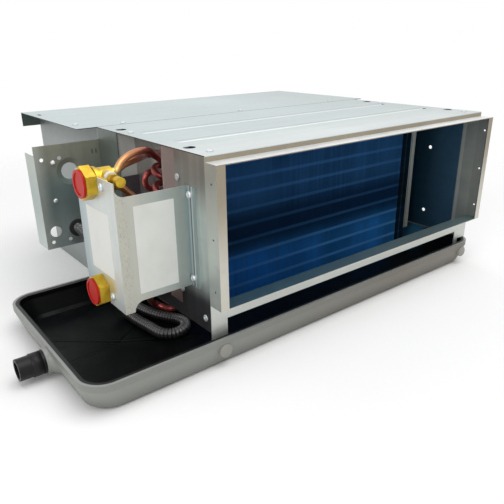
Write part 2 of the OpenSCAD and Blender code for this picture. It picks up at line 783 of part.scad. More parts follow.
// Tube ends that a bend joins: [row, tube, row, tube]; three water circuits in all
hairpins = concat([for (k = [0 : last_k - 1]) [0, k, 1, k]],
    [for (k = [0 : 2 : last_k - 3]) [2, k, 2, k + 1]], [[2, last_k - 1, 0, last_k]]);
near_bends = concat([for (k = [0 : last_k - 2]) if (k != mid_k - 1) [1, k, 0, k + 1]],
    [for (k = [1 : 2 : last_k - 2]) [2, k, 2, k + 1]]);
function tube_end(row, k) = [rows[row], tube_z(row, k)];

// Aluminium fin plates on the tubes
module coil_fins() {
    span = sheet_r - sheet_l - 2 * sheet_t;
    count = floor(span / fin_pitch);
    first = sheet_l + sheet_t + (span - (count - 1) * fin_pitch - fin_t) / 2;
    placed() color("#12305e") for (i = [0 : count - 1])
        slab_x(first + i * fin_pitch, fin_t) difference() {
            translate([fin_y0, fin_z0]) square([fin_y1 - fin_y0, fin_z1 - fin_z0]);
            tube_holes(tube_r + seat);
        }
}

// Straight copper tubes through the fins and both sheets
module coil_tubes() {
    placed() color("#a4603f") for (row = [0 : 2], k = [0 : row_count(row) - 1])
        slab_x(stub_x, sheet_r + tube_stub - stub_x) translate(tube_end(row, k)) tube_ring();
}

// Copper bends that pair the tubes at the far end
module far_bends() {
    placed() color("#a4603f") for (p = hairpins)
        u_bend(sheet_r + tube_stub, tube_end(p[0], p[1]), tube_end(p[2], p[3]), -1);
}

// Copper bends that join the hairpins at the near end
module return_bends() {
    placed() color("#9c5a3c") for (p = near_bends)
        u_bend(stub_x, tube_end(p[0], p[1]), tube_end(p[2], p[3]), 1);
}

// Perforated end plate of the coil, drawn at x
module tube_plate(x) {
    slab_x(x, sheet_t) difference() {
        translate([flange_y, fin_z0 + 1]) square([sheet_y1 - flange_y, sheet_top - fin_z0 - 1]);
        tube_holes(tube_r + seat);
    }
}

// Near tube sheet; its flanges close the end pocket against the casing side
module tube_sheet_left() {
    placed() color("#8d948f") union() {
        tube_plate(sheet_l);
        for (y = [flange_y, sheet_y1 - sheet_t])
            block([sheet_t, y, flange_z], [sheet_l, y + sheet_t, sheet_top]);
    }
}

// Far tube sheet, with a narrow front flange and a closing rear flange
module tube_sheet_right() {
    rear_y = sheet_y1 - sheet_t;
    placed() color("#8d948f") union() {
        tube_plate(sheet_r - sheet_t);
        block([sheet_r, flange_y, flange_z], [sheet_r + flange_w, flange_y + sheet_t, sheet_top]);
        block([sheet_r, rear_y, flange_z], [casing_w - sheet_t, rear_y + sheet_t, sheet_top]);
    }
}

// Foam pad on the near tube sheet's rear flange
module end_foam() {
    face_y = sheet_y1 - sheet_t;
    placed() color("#3a3438")
        block([sheet_t + seat, face_y - foam_t, window_z], [sheet_l - seat, face_y, foam_top]);
}

// Copper branches from the upper connector to the three circuits
module upper_branch_pipes() {
    placed() color("#b4683f") for (route = [front_branch_route, rear_branch_route, mid_branch_route])
        swept_tube(spline(route, 3), pipe_d / 2, 12);
}

// Copper branches from the lower connector to the three circuits
module lower_branch_pipes() {
    placed() color("#9b5540") for (route = [low_front_route, low_rear_route, low_mid_route])
        swept_tube(spline(route, 3), pipe_d / 2, 12);
}

// Brass connector: hexagon outside the bracket, flange and body behind it
module connector(z) {
    difference() {
        union() {
            hex_x(hex_x0, hex_x1, conn_y, z, hex_af);
            rod_x(hex_x1, body_x1, conn_y, z, body_r);
            rod_x(conn_flange_x, conn_flange_x1, conn_y, z, body_r + conn_ring);
            block([conn_flange_x, conn_y - flange_span / 2, z - conn_ear_r],
                [conn_flange_x1, conn_y + flange_span / 2, z + conn_ear_r]);
            for (s = [-1, 1])
                rod_x(conn_flange_x, conn_flange_x1, conn_y + s * flange_span / 2, z, conn_ear_r);
        }
        rod_x(hex_x0 - cut, hex_x0 + mouth_depth, conn_y, z, mouth_r);
        rod_x(hex_x0, body_x1 - conn_floor, conn_y, z, mouth_r - conn_floor);
        for (s = [-1, 1])
            rod_x(conn_flange_x - cut, conn_flange_x1 + cut, conn_y + s * flange_span / 2, z,
                screw_r + seat);
    }
}

// Upper connector, with the boss that carries the air vent
module upper_connector() {
    placed() color("#c9a227") difference() {
        union() {
            connector(conn_up_z);
            difference() {
                rod_y(vent_boss_y, conn_y, vent_x, vent_z, vent_boss_r);
                rod_x(hex_x0, body_x1, conn_y, conn_up_z, body_r - 1);
            }
        }
        rod_y(vent_boss_y - cut, vent_boss_y + 6, vent_x, vent_z, stem_d / 2 + seat);
    }
}

module lower_connector() {
    placed() color("#c9a227") connector(conn_low_z);
}

// Lengths of the vent's collar, hexagon and neck
vent_collar = 6;
vent_hex = 6;
vent_neck = 6;
// Radii of the vent's collar and neck, and the dish in the knob's end
vent_collar_r = 5;
vent_neck_r = 3.5;
knob_dish = 0.8;
vent_tip_y = vent_boss_y - vent_collar - vent_hex - vent_neck;

// Air vent screwed into the upper connector's boss
module vent_body() {
    placed() color("#b8922a") difference() {
        union() {
            rod_y(vent_boss_y - vent_collar, vent_boss_y, vent_x, vent_z, vent_collar_r);
            translate([vent_x, vent_boss_y - vent_collar, vent_z]) rotate([90, 0, 0])
                cylinder(h = vent_hex, r = vent_af / sqrt(3), $fn = 6);
            rod_y(vent_tip_y, vent_boss_y - vent_collar - vent_hex, vent_x, vent_z, vent_neck_r);
        }
        rod_y(vent_tip_y - cut, vent_boss_y + cut, vent_x, vent_z, stem_d / 2 + run_gap);
    }
}

// Vent screw, turned by hand to bleed the coil
module vent_screw() {
    placed() color("#c29a2c") difference() {
        union() {
            rod_y(vent_tip_y - seat - knob_len, vent_tip_y - seat, vent_x, vent_z, knob_d / 2);
            rod_y(vent_tip_y - seat, vent_boss_y - seat, vent_x, vent_z, stem_d / 2);
        }
        rod_y(vent_tip_y - knob_len - cut, vent_tip_y - seat - knob_len + knob_dish, vent_x, vent_z,
            knob_d / 2 - 1);
    }
}

// Red transport cap with a dished head and a hollow plug
module cap(z) {
    head_x = hex_x0 - seat;
    difference() {
        union() {
            rod_x(head_x - cap_t, head_x, conn_y, z, cap_d / 2);
            rod_x(head_x, head_x + plug_len, conn_y, z, mouth_r - 2 * run_gap);
        }
        rod_x(head_x - cap_t - cut, head_x - cap_t + 1, conn_y, z, cap_d / 2 - 3);
        rod_x(head_x + 1, head_x + plug_len + cut, conn_y, z, mouth_r - 2);
    }
}

module upper_cap() {
    placed() color("#c62f2b") cap(conn_up_z);
}

module lower_cap() {
    placed() color("#c62f2b") cap(conn_low_z);
}

// Fixing screws of the bracket: heads on its faces, shanks in the holes
screw_r = 2;
screw_head_r = 4.2;
screw_head_h = 3;
strip_screw_z = [front_bot + 10, front_top - 9];

module bracket_screws() {
    placed() color("#c9ced0") {
        for (z = [conn_low_z, conn_up_z], s = [-1, 1]) let (y = conn_y + s * flange_span / 2) {
            rod_x(-bracket_x - screw_head_h, -bracket_x, y, z, screw_head_r);
            rod_x(-bracket_x, conn_flange_x1 + 2, y, z, screw_r);
        }
        for (z = strip_screw_z) {
            rod_x(-bracket_t - screw_head_h, -bracket_t, bracket_y - strip_w / 3, z, screw_head_r);
            rod_x(-bracket_t, sheet_t + 3, bracket_y - strip_w / 3, z, screw_r);
        }
    }
}

// Angle bracket that carries both connectors in open notches
module connection_bracket() {
    corner_r = 12;
    arch_r = 14;
    notch = body_r + slide_gap;
    side_x = -bracket_x;
    placed() color("#b3bab8") difference() {
        union() {
            block([-bracket_t, bracket_y - strip_w, front_bot], [0, bracket_y, front_top]);
            difference() {
                block([side_x, bracket_y, bracket_bot], [0, bracket_y + bracket_t, bracket_top]);
                block([side_x + corner_r, bracket_y - cut, front_top],
                    [cut, bracket_y + 2, bracket_top + cut]);
                rod_y(bracket_y - cut, bracket_y + 2, side_x + corner_r, front_top + corner_r, corner_r);
                block([side_x + arch_r + 8, bracket_y - cut, bracket_bot - cut],
                    [cut, bracket_y + 2, front_bot]);
                translate([side_x + arch_r + 8, 0, bracket_bot]) rod_y(bracket_y - cut, bracket_y + 2, 0, 0,
                    front_bot - bracket_bot);
            }
            block([side_x, bracket_y, bracket_bot],
                [side_x + bracket_t, bracket_y + bracket_d, bracket_top]);
        }
        block([side_x - cut, conn_y - notch, conn_up_z], [side_x + 2, conn_y + notch, bracket_top + cut]);
        rod_x(side_x - cut, side_x + 2, conn_y, conn_up_z, notch);
        block([side_x - cut, conn_y - notch, bracket_bot - cut], [side_x + 2, conn_y + notch, conn_low_z]);
        rod_x(side_x - cut, side_x + 2, conn_y, conn_low_z, notch);
        for (z = [conn_low_z, conn_up_z], s = [-1, 1])
            rod_x(side_x - cut, side_x + 2, conn_y + s * flange_span / 2, z, screw_r + seat);
        for (z = strip_screw_z)
            rod_x(-bracket_t - cut, cut, bracket_y - strip_w / 3, z, screw_r + seat);
    }
}

// Plate for the cable entries, beside the fan deck, with a side and a fixing flange
module connection_plate() {
    plate_hole_r = 2.5;
    flange_top = plate_top - 12;
    fix_w = 20;
    placed() color("#9aa29d") difference() {
        union() {
            block([-plate_w, deck_y, plate_bot], [0, deck_y + sheet_t, plate_top]);
            block([-plate_w, deck_y + sheet_t, plate_bot],
                [-plate_w + sheet_t, deck_y + plate_flange, flange_top]);
            block([-sheet_t, deck_y + sheet_t, plate_bot + 10], [0, deck_y + fix_w, plate_top - 10]);
            translate([-entry_x, deck_y + sheet_t, entry_z]) rotate([-90, 0, 0])
                cylinder(h = 2, r1 = dish_r, r2 = entry_r + 1);
        }
        translate([-entry_x, deck_y - 0.01, entry_z]) rotate([-90, 0, 0])
            cylinder(h = 2, r1 = dish_r - 1, r2 = entry_r);
        rod_y(deck_y - cut, deck_y + 5, -entry_x, entry_z, entry_r);
        rod_y(deck_y - cut, deck_y + 3, -spare_x, grommet_z, spare_r);
        rod_y(deck_y - cut, deck_y + 3, -entry_x, grommet_z, grommet_r - 3);
        for (x = [-plate_w + 9, -spare_x + 18], z = [plate_bot + 9, plate_top - 18])
            rod_y(deck_y - cut, deck_y + 3, x, z, plate_hole_r);
    }
}

// Rubber grommet that the conduit leaves by
module grommet() {
    front_y = deck_y - grommet_out;
    bore_r = conduit_d / 2 - 2;
    placed() color("#18191a") difference() {
        union() {
            rod_y(front_y, deck_y, -entry_x, grommet_z, grommet_r);
            rod_y(deck_y, deck_y + sheet_t, -entry_x, grommet_z, grommet_r - 3 - seat);
            rod_y(deck_y + sheet_t, deck_y + sheet_t + 2, -entry_x, grommet_z, grommet_r - 1);
        }
        rod_y(front_y - cut, deck_y + sheet_t + 3, -entry_x, grommet_z, bore_r);
    }
}

// Terminal block on the back of the connection plate
module terminal_block() {
    ways = 6;
    way = term_way;
    depth = term_d;
    height = term_h;
    x0 = -entry_x - ways * way / 2;
    z0 = (entry_z - dish_r + grommet_z + grommet_r) / 2 - height / 2;
    y0 = deck_y + sheet_t;
    placed() color("#d9d8cf") difference() {
        block([x0, y0, z0], [x0 + ways * way, y0 + depth, z0 + height]);
        for (i = [0 : ways - 1]) {
            block([x0 + i * way + 1, y0 + depth - 6, z0 - cut],
                [x0 + (i + 1) * way - 1, y0 + depth + cut, z0 + height / 2 - 2]);
            block([x0 + i * way + 1, y0 + depth - 6, z0 + height / 2 + 2],
                [x0 + (i + 1) * way - 1, y0 + depth + cut, z0 + height + cut]);
        }
    }
}

// Run capacitor with its fixing ear, on the back of the fan deck
module run_capacitor() {
    size = [capacitor_w, capacitor_d, capacitor_h];
    ear = 12;
    x0 = mid_x - size[0] / 2;
    y0 = deck_y + sheet_t;
    z0 = roof_z - capacitor_drop - capacitor_h;
    placed() color("#232426") difference() {
        union() {
            block([x0, y0, z0], [x0 + size[0], y0 + size[1], z0 + size[2]]);
            block([x0 - ear, y0, z0], [x0, y0 + 3, z0 + ear]);
        }
        rod_y(y0 - cut, y0 + 4, x0 - ear / 2, z0 + ear / 2, screw_r);
    }
}

// Corrugated conduit, drawn as a plain tube along its route
module conduit() {
    placed() color("#1d1e1f") swept_tube(spline(conduit_route, 2), conduit_d / 2, 10);
}

// Plug on the conduit's end, lying in the pan
module conduit_plug() {
    base_z = liner_top + seat;
    pin_r = 1.6;
    pin_x = 4;
    pin_z = 3;
    pin_depth = 8;
    placed() color("#2a2b2d") difference() {
        block([conduit_x1 - plug_w / 2, plug_y, base_z],
            [conduit_x1 + plug_w / 2, plug_y + plug_l, base_z + plug_h]);
        for (x = [-pin_x, pin_x], z = [-pin_z, pin_z])
            rod_y(plug_y + plug_l - pin_depth, plug_y + plug_l + cut, conduit_x1 + x,
                base_z + plug_h / 2 + z, pin_r);
    }
}

// Scroll outline in y and z: the radius grows evenly from the cut-off round to the roof side
function scroll(shrink, mouth_y) = let (end_a = 270, r0 = cutoff_r - shrink) concat(
    [[mouth_y, axis_z - cutoff_r * sin(cutoff_a) + shrink]],
    [for (i = [0 : 30]) let (f = i / 30, a = cutoff_a + (end_a - cutoff_a) * f, r = r0 + scroll_growth * f)
        [axis_y - r * cos(a), axis_z - r * sin(a)]],
    [[mouth_y, axis_z + cutoff_r + scroll_growth - shrink]]);

// Side plates of a scroll housing, each with an inlet
module fan_sides(x0) {
    for (x = [x0, x0 + scroll_w - sheet_t]) difference() {
        slab_x(x, sheet_t) polygon(scroll(0, deck_y + sheet_t));
        rod_x(x - cut, x + sheet_t + cut, axis_y, axis_z, inlet_r);
    }
}

// Wrap of a scroll housing between its side plates, open at the mouth on the fan deck
module fan_wrap(x0) {
    difference() {
        slab_x(x0 + sheet_t, scroll_w - 2 * sheet_t) polygon(scroll(0, deck_y + sheet_t));
        slab_x(x0, scroll_w) polygon(scroll(sheet_t, deck_y + sheet_t - cut));
    }
}

module fan_sides_left() {
    placed() color("#b0b7b6") fan_sides(scroll_inset);
}

module fan_sides_right() {
    placed() color("#b0b7b6") fan_sides(casing_w - scroll_inset - scroll_w);
}

module fan_wrap_left() {
    placed() color("#a8b0af") fan_wrap(scroll_inset);
}

module fan_wrap_right() {
    placed() color("#a8b0af") fan_wrap(casing_w - scroll_inset - scroll_w);
}

// Forward-curved blade section: a strip that leans forward towards the rim
function blade_line(r, side) = let (f = (r - (wheel_r - blade_d)) / blade_d, a = 14 * f * f)
    [r * cos(a) - side * blade_t / 2 * sin(a + 18), r * sin(a) + side * blade_t / 2 * cos(a + 18)];
function blade_shape() = let (steps = 4, in_r = wheel_r - blade_d) concat(
    [for (i = [0 : steps]) blade_line(in_r + blade_d * i / steps, -1)],
    [for (i = [steps : -1 : 0]) blade_line(in_r + blade_d * i / steps, 1)]);

// Double-inlet wheel: middle disc with hub, blades on both sides and two end rings
module fan_wheel(x0) {
    hub_r = shaft_r + 5;
    hub_len = 24;
    ring_t = 2;
    mid = x0 + wheel_w / 2;
    translate([0, axis_y, axis_z]) difference() {
        union() {
            rod_x(mid - blade_t, mid + blade_t, 0, 0, wheel_r - 1);
            rod_x(mid - hub_len / 2, mid + hub_len / 2, 0, 0, hub_r);
            slab_x(x0, wheel_w) for (i = [0 : blade_n - 1])
                rotate(360 * i / blade_n) polygon(blade_shape());
            for (x = [x0, x0 + wheel_w - ring_t]) difference() {
                rod_x(x, x + ring_t, 0, 0, wheel_r);
                rod_x(x - cut, x + ring_t + cut, 0, 0, wheel_r - blade_d + 1);
            }
        }
        rod_x(x0, x0 + wheel_w, 0, 0, shaft_r + run_gap);
    }
}

module fan_wheel_left() {
    placed() color("#9ea6a8") fan_wheel(wheel_in);
}

module fan_wheel_right() {
    placed() color("#9ea6a8") fan_wheel(casing_w - wheel_in - wheel_w);
}

// Shaft through the motor, with a wheel on each end
module motor_shaft() {
    placed() color("#c0c4c6") rod_x(shaft_x0, shaft_x1, axis_y, axis_z, shaft_r);
}

module motor_rotor() {
    placed() color("#777c80") difference() {
        rod_x(mid_x - core_len / 2, mid_x + core_len / 2, axis_y, axis_z, rotor_d / 2);
        rod_x(mid_x - core_len, mid_x + core_len, axis_y, axis_z, shaft_r + run_gap);
    }
}

// Stator ring with winding slots
module motor_stator() {
    slots = 12;
    outer_r = motor_r - motor_wall - seat;
    placed() color("#8a4a34") difference() {
        rod_x(mid_x - core_len / 2, mid_x + core_len / 2, axis_y, axis_z, outer_r);
        rod_x(mid_x - core_len, mid_x + core_len, axis_y, axis_z, rotor_d / 2 + 0.5);
        translate([0, axis_y, axis_z]) for (i = [0 : slots - 1]) rotate([360 * i / slots, 0, 0])
            block([mid_x - core_len, -2, rotor_d / 2], [mid_x + core_len, 2, outer_r - 5]);
    }
}

// End wall of the motor with the bearing's seat, reaching inwards along +x
module motor_wall_and_seat(r) {
    difference() {
        union() {
            rod_x(0, motor_wall, 0, 0, r);
            rod_x(0, motor_wall + bearing_w, 0, 0, bearing_d / 2 + 4);
        }
        rod_x(motor_wall, motor_wall + bearing_w + cut, 0, 0, bearing_d / 2 + run_gap);
        rod_x(-cut, motor_wall + cut, 0, 0, shaft_r + 1);
    }
}

// Motor shell with one end wall
module motor_shell() {
    placed() color("#4a4e52") translate([motor_x0, axis_y, axis_z]) union() {
        motor_wall_and_seat(motor_r);
        difference() {
            rod_x(0, motor_len - motor_wall, 0, 0, motor_r);
            rod_x(-cut, motor_len, 0, 0, motor_r - motor_wall);
        }
    }
}

// Other end wall, closing the shell
module motor_end_cap() {
    placed() color("#565a5e") translate([motor_x1, axis_y, axis_z]) mirror([1, 0, 0])
        motor_wall_and_seat(motor_r);
}

module motor_bearings() {
    placed() color("#b8bcc0") for (x = [motor_x0 + motor_wall, motor_x1 - motor_wall - bearing_w])
        difference() {
            rod_x(x, x + bearing_w, axis_y, axis_z, bearing_d / 2);
            rod_x(x - cut, x + bearing_w + cut, axis_y, axis_z, shaft_r + run_gap);
        }
}

// Feet of the motor strap and their seats on the cradle
foot_d = 12;
foot_w = 14;

// Cradle: a base on the fan deck and two saddle plates under the motor
module motor_cradle() {
    saddle_t = 2;
    base_y = deck_y + sheet_t;
    horn_y = axis_y + motor_r + foot_d;
    drop = motor_r + 10;
    placed() color("#8f9798") difference() {
        union() {
            block([saddle_x[0] - 8, base_y, axis_z - drop], [saddle_x[1] + 8, base_y + saddle_t, axis_z]);
            for (x = saddle_x) {
                block([x - saddle_t / 2, base_y, axis_z - drop], [x + saddle_t / 2, horn_y, axis_z]);
                block([x - foot_w / 2, axis_y - motor_r - foot_d, axis_z - saddle_t],
                    [x + foot_w / 2, axis_y - motor_r + 4, axis_z]);
                block([x - foot_w / 2, axis_y + motor_r - 4, axis_z - saddle_t],
                    [x + foot_w / 2, horn_y, axis_z]);
            }
        }
        rod_x(motor_x0, motor_x1, axis_y, axis_z, motor_r + seat);
    }
}

// Two half-round straps over the motor, with feet on the cradle
module motor_strap() {
    strap_t = 1.5;
    inner = motor_r + seat;
    placed() color("#a8afb0") for (x = saddle_x) difference() {
        union() {
            rod_x(x - foot_w / 2, x + foot_w / 2, axis_y, axis_z, inner + strap_t);
            block([x - foot_w / 2, axis_y - motor_r - foot_d, axis_z],
                [x + foot_w / 2, axis_y + motor_r + foot_d, axis_z + strap_t]);
        }
        rod_x(x - foot_w, x + foot_w, axis_y, axis_z, inner);
        block([x - foot_w, axis_y - motor_d, axis_z - motor_d], [x + foot_w, axis_y + motor_d, axis_z]);
    }
}

// Groove of the filter frame that holds the mesh
mesh_t = 1;
mesh_in = 5;

// Filter frame, drawn out sideways by its tab
module filter_frame() {
    tab = 8;
    tab_h = 40;
    y_mid = filter_y0 + filter_t / 2;
    z_mid = (filter_z0 + filter_z1) / 2;
    groove = filter_bar - mesh_in - seat;
    placed() color("#b9bfc1") difference() {
        union() {
            block([filter_x0, filter_y0, filter_z0], [casing_w, filter_y0 + filter_t, filter_z1]);
            block([casing_w, y_mid - 2, z_mid - tab_h / 2], [casing_w + tab, y_mid + 2, z_mid + tab_h / 2]);
        }
        block([filter_x0 + filter_bar, filter_y0 - cut, filter_z0 + filter_bar],
            [casing_w - filter_bar, filter_y0 + filter_t + cut, filter_z1 - filter_bar]);
        block([filter_x0 + groove, y_mid - mesh_t / 2 - seat, filter_z0 + groove],
            [casing_w - groove, y_mid + mesh_t / 2 + seat, filter_z1 - groove]);
    }
}

// Filter backing: a sheet cut to a square grid
module filter_mesh() {
    x0 = filter_x0 + filter_bar;
    x1 = casing_w - filter_bar;
    z0 = filter_z0 + filter_bar;
    z1 = filter_z1 - filter_bar;
    nx = floor((x1 - x0) / rib_pitch);
    nz = floor((z1 - z0) / rib_pitch);
    open = rib_pitch - rib_w;
    sx = x0 + ((x1 - x0) - nx * rib_pitch + rib_w) / 2;
    sz = z0 + ((z1 - z0) - nz * rib_pitch + rib_w) / 2;
    placed() color("#30343a") slab_y(filter_y0 + filter_t / 2 - mesh_t / 2, mesh_t) difference() {
        translate([x0 - mesh_in, z0 - mesh_in]) square([x1 - x0 + 2 * mesh_in, z1 - z0 + 2 * mesh_in]);
        for (i = [0 : nx - 1], k = [0 : nz - 1])
            translate([sx + i * rib_pitch, sz + k * rib_pitch]) square(open);
    }
}

top_panel();
rear_cover();
casing_screws();
outlet_collar();
left_side_plate();
right_side_plate();
fan_deck();
plenum_left_panel();
plenum_right_panel();
plenum_bottom_panel();
drain_pan();
pan_liner();
drain_nozzle();
pan_hanger();
pan_rear_bracket();
coil_fins();
coil_tubes();
far_bends();
return_bends();
tube_sheet_left();
tube_sheet_right();
end_foam();
upper_branch_pipes();
lower_branch_pipes();
upper_connector();
lower_connector();
vent_body();
vent_screw();
upper_cap();
lower_cap();
connection_bracket();
bracket_screws();
connection_plate();
grommet();
terminal_block();
run_capacitor();
conduit();
conduit_plug();
fan_sides_left();
fan_sides_right();
fan_wrap_left();
fan_wrap_right();
fan_wheel_left();
fan_wheel_right();
motor_shaft();
motor_rotor();
motor_stator();
motor_shell();
motor_end_cap();
motor_bearings();
motor_cradle();
motor_strap();
filter_frame();
filter_mesh();
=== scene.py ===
"""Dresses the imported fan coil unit: camera, light, finishes for every solid, and the finer pieces
that the solids leave out, such as the fin pack, the pipes, the corrugated conduit and the screws."""

import math

import bpy
import numpy as np
from mathutils import Matrix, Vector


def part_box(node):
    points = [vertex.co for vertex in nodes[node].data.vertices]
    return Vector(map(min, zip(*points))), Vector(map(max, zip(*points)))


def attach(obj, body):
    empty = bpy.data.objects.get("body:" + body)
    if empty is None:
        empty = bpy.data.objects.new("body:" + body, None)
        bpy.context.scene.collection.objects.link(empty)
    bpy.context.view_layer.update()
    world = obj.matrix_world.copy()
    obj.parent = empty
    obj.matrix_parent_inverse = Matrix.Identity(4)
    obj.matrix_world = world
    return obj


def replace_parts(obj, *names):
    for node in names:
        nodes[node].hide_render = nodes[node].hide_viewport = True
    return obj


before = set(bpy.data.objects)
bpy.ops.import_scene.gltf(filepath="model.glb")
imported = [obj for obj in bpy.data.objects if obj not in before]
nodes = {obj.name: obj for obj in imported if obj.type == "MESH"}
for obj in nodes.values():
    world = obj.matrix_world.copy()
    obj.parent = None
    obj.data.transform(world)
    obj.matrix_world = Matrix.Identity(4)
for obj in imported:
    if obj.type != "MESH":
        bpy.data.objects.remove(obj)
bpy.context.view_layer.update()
MM = 0.001

# The working frame of the solids: x = 0 on the casing's left side, y = 0 on the outlet face
corner = np.array([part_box("top_panel")[0][0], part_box("outlet_collar")[0][1], 0.0])


def at(points):
    """Working-frame millimetres as metres in the row's frame."""
    return np.asarray(points, float) * MM + corner


def span(name, axis):
    """Lowest and highest place of a solid along one axis, in working-frame millimetres."""
    low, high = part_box(name)
    return (low[axis] - corner[axis]) / MM, (high[axis] - corner[axis]) / MM


# Sizes of the coil, and the places that finishes and pieces share, as the solids have them
TUBE_PITCH = 21.8
TUBE_TOP = 217.7
ROW_Y = (134.0, 153.05, 172.1)
ROW_TUBES = 10
PIPE_R = 4.0
SHEET_T = 1.0
STUB_X = span("coil_tubes", 0)[0]
FAR_SHEET_X = span("tube_sheet_right", 0)[0]
DECK_Y = span("connection_plate", 1)[0]


def tube_z(row, k):
    """Height of tube k in a row; the middle row is set half a pitch lower."""
    return TUBE_TOP - (k + (0.5 if row == 1 else 0.0)) * TUBE_PITCH


# Camera
CAMERA_PLACE = (-291.2, -424.1, 347.6)
CAMERA_TURN = math.radians(38.23)
CAMERA_DIP = math.radians(21.57)
CAMERA_ROLL = math.radians(-0.66)
CAMERA_LENS = 38.35
SENSOR_W = 36.0
NEAREST_SEEN = 0.01


def make_camera():
    """Looks along +Y, turned towards +X, dipped and slightly rolled."""
    turn, dip, roll = CAMERA_TURN, CAMERA_DIP, CAMERA_ROLL
    ahead = np.array([math.sin(turn), math.cos(turn), 0.0])
    look = ahead * math.cos(dip) - np.array([0.0, 0.0, math.sin(dip)])
    right = np.array([math.cos(turn), -math.sin(turn), 0.0])
    up = np.cross(right, look)
    right, up = (
        math.cos(roll) * right + math.sin(roll) * up,
        math.cos(roll) * up - math.sin(roll) * right,
    )
    data = bpy.data.cameras.new("camera")
    data.lens = CAMERA_LENS
    data.sensor_width = SENSOR_W
    data.clip_start = NEAREST_SEEN
    camera = bpy.data.objects.new("camera", data)
    pose = np.eye(4)
    pose[:3, 0], pose[:3, 1], pose[:3, 2] = right, up, -look
    pose[:3, 3] = at(CAMERA_PLACE)
    camera.matrix_world = Matrix(pose.tolist())
    bpy.context.collection.objects.link(camera)
    bpy.context.scene.camera = camera


make_camera()


# Surfaces


def quads(rows, cols):
    """Quads of a grid of points, row by row; the last column joins the first."""
    r = np.arange(rows - 1)[:, None]
    c = np.arange(cols)[None, :]
    a, b = r * cols + c, r * cols + (c + 1) % cols
    return np.stack([a, b, b + cols, a + cols], axis=-1).reshape(-1, 4)


def round_skin(grid):
    """Closed skin over rings of points: quads between the rings and a flat face on each end ring."""
    rows, cols = grid.shape[:2]
    faces = quads(rows, cols).tolist()
    ends = [list(range(cols))[::-1], list(range((rows - 1) * cols, rows * cols))]
    return grid.reshape(-1, 3), faces + ends


def join(skins):
    """Several skins as one list of points and one list of faces."""
    points, faces, start = [], [], 0
    for p, f in skins:
        points.append(p)
        faces += [[i + start for i in face] for face in f]
        start += len(p)
    return np.concatenate(points), faces


def piece(name, skin, finish, body="casing", smooth=True):
    """A mesh object at the origin from a skin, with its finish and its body."""
    points, faces = skin
    mesh = bpy.data.meshes.new(name)
    mesh.from_pydata(points.tolist(), [], faces)
    mesh.polygons.foreach_set("use_smooth", np.full(len(faces), smooth))
    mesh.materials.append(finish.material)
    made = bpy.data.objects.new(name, mesh)
    bpy.context.collection.objects.link(made)
    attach(made, body)
    return made


def spline(route, steps):
    """Catmull-Rom curve through the route: each stretch is a cubic in t of its four nearest points."""
    p = np.asarray(route, float)
    p = np.concatenate([p[:1], p, p[-1:]])
    t = (np.arange(steps) / steps)[None, :, None]
    a, b, c, d = (p[i : len(p) - 3 + i, None, :] for i in range(4))
    cubic = 0.5 * (
        2 * b + (c - a) * t + (2 * a - 5 * b + 4 * c - d) * t**2 + (3 * b - a - 3 * c + d) * t**3
    )
    return np.concatenate([cubic.reshape(-1, 3), p[-1:]])


def evenly(path, step):
    """The same line with its points a fixed step apart, and the distance run at each."""
    run = np.concatenate([[0], np.cumsum(np.linalg.norm(np.diff(path, axis=0), axis=1))])
    count = max(int(round(run[-1] / step)), 2) + 1
    s = np.linspace(0, run[-1], count)
    return np.stack([np.interp(s, run, path[:, i]) for i in range(3)], axis=1), s


# Start of the turn round a path: a direction that no path here runs along
REFERENCE = np.array([0.5, 0.3, 0.8])


def rings(path, radius, sides):
    """Circles square to the path: the path's point plus radius times (cos, sin) of the turn."""
    t = np.gradient(path, axis=0)
    t /= np.linalg.norm(t, axis=1, keepdims=True)
    n = REFERENCE - (t @ REFERENCE)[:, None] * t
    n /= np.linalg.norm(n, axis=1, keepdims=True)
    b = np.cross(t, n)
    a = np.linspace(0, 2 * math.pi, sides, endpoint=False)
    turn = np.cos(a)[None, :, None] * n[:, None] + np.sin(a)[None, :, None] * b[:, None]
    return path[:, None] + np.broadcast_to(radius, len(path))[:, None, None] * turn


AXES = {"x": np.eye(3)[[1, 2, 0]], "y": np.eye(3)[[2, 0, 1]], "z": np.eye(3)}


def turned(profile, place, axis, sides=40, facing=1):
    """Turned skin: each (radius, height) of the profile goes round the axis through the place."""
    across, beside, along = AXES[axis]
    r, h = np.asarray(profile, float).T
    a = np.linspace(0, 2 * math.pi, sides, endpoint=False) * facing
    ring = np.cos(a)[:, None] * across + np.sin(a)[:, None] * beside
    grid = np.asarray(place) + r[:, None, None] * ring + (facing * h)[:, None, None] * along
    return round_skin(at(grid))


# Cross recess of a screw head, in shares of its radius and height, each with its slope
ARM_W, ARM_W_SLOPE = 0.17, 0.06
ARM_L, ARM_L_SLOPE = 0.62, 0.12
RECESS_DEPTH = 0.55
DOME_FALL = 0.45
HEAD_SIDES = 48
# Rings of a head, as shares of its radius; the last two make its straight side
HEAD_RINGS = np.append(np.linspace(0.04, 0.94, 12), [1.0, 1.0])


def screw_head(place, axis, facing, radius, height):
    """Pan head with a cross recess: a dome over (share, turn), lower inside two crossed slots."""
    across, beside, along = AXES[axis]
    share = HEAD_RINGS[:, None]
    turn = np.linspace(0, 2 * math.pi, HEAD_SIDES, endpoint=False)[None, :] * facing
    u, v = share * np.cos(turn), share * np.sin(turn)
    wide, long = np.minimum(np.abs(u), np.abs(v)), np.maximum(np.abs(u), np.abs(v))
    recess = np.clip((ARM_W - wide) / ARM_W_SLOPE, 0, 1)
    recess *= np.clip((ARM_L - long) / ARM_L_SLOPE, 0, 1)
    rise = height * (1 - DOME_FALL * share**3) - RECESS_DEPTH * height * recess
    rise[-1] = 0.0
    grid = (
        np.asarray(place, float)
        + radius * (u[..., None] * across + v[..., None] * beside)
        + facing * rise[..., None] * along
    )
    return round_skin(at(grid[::-1]))


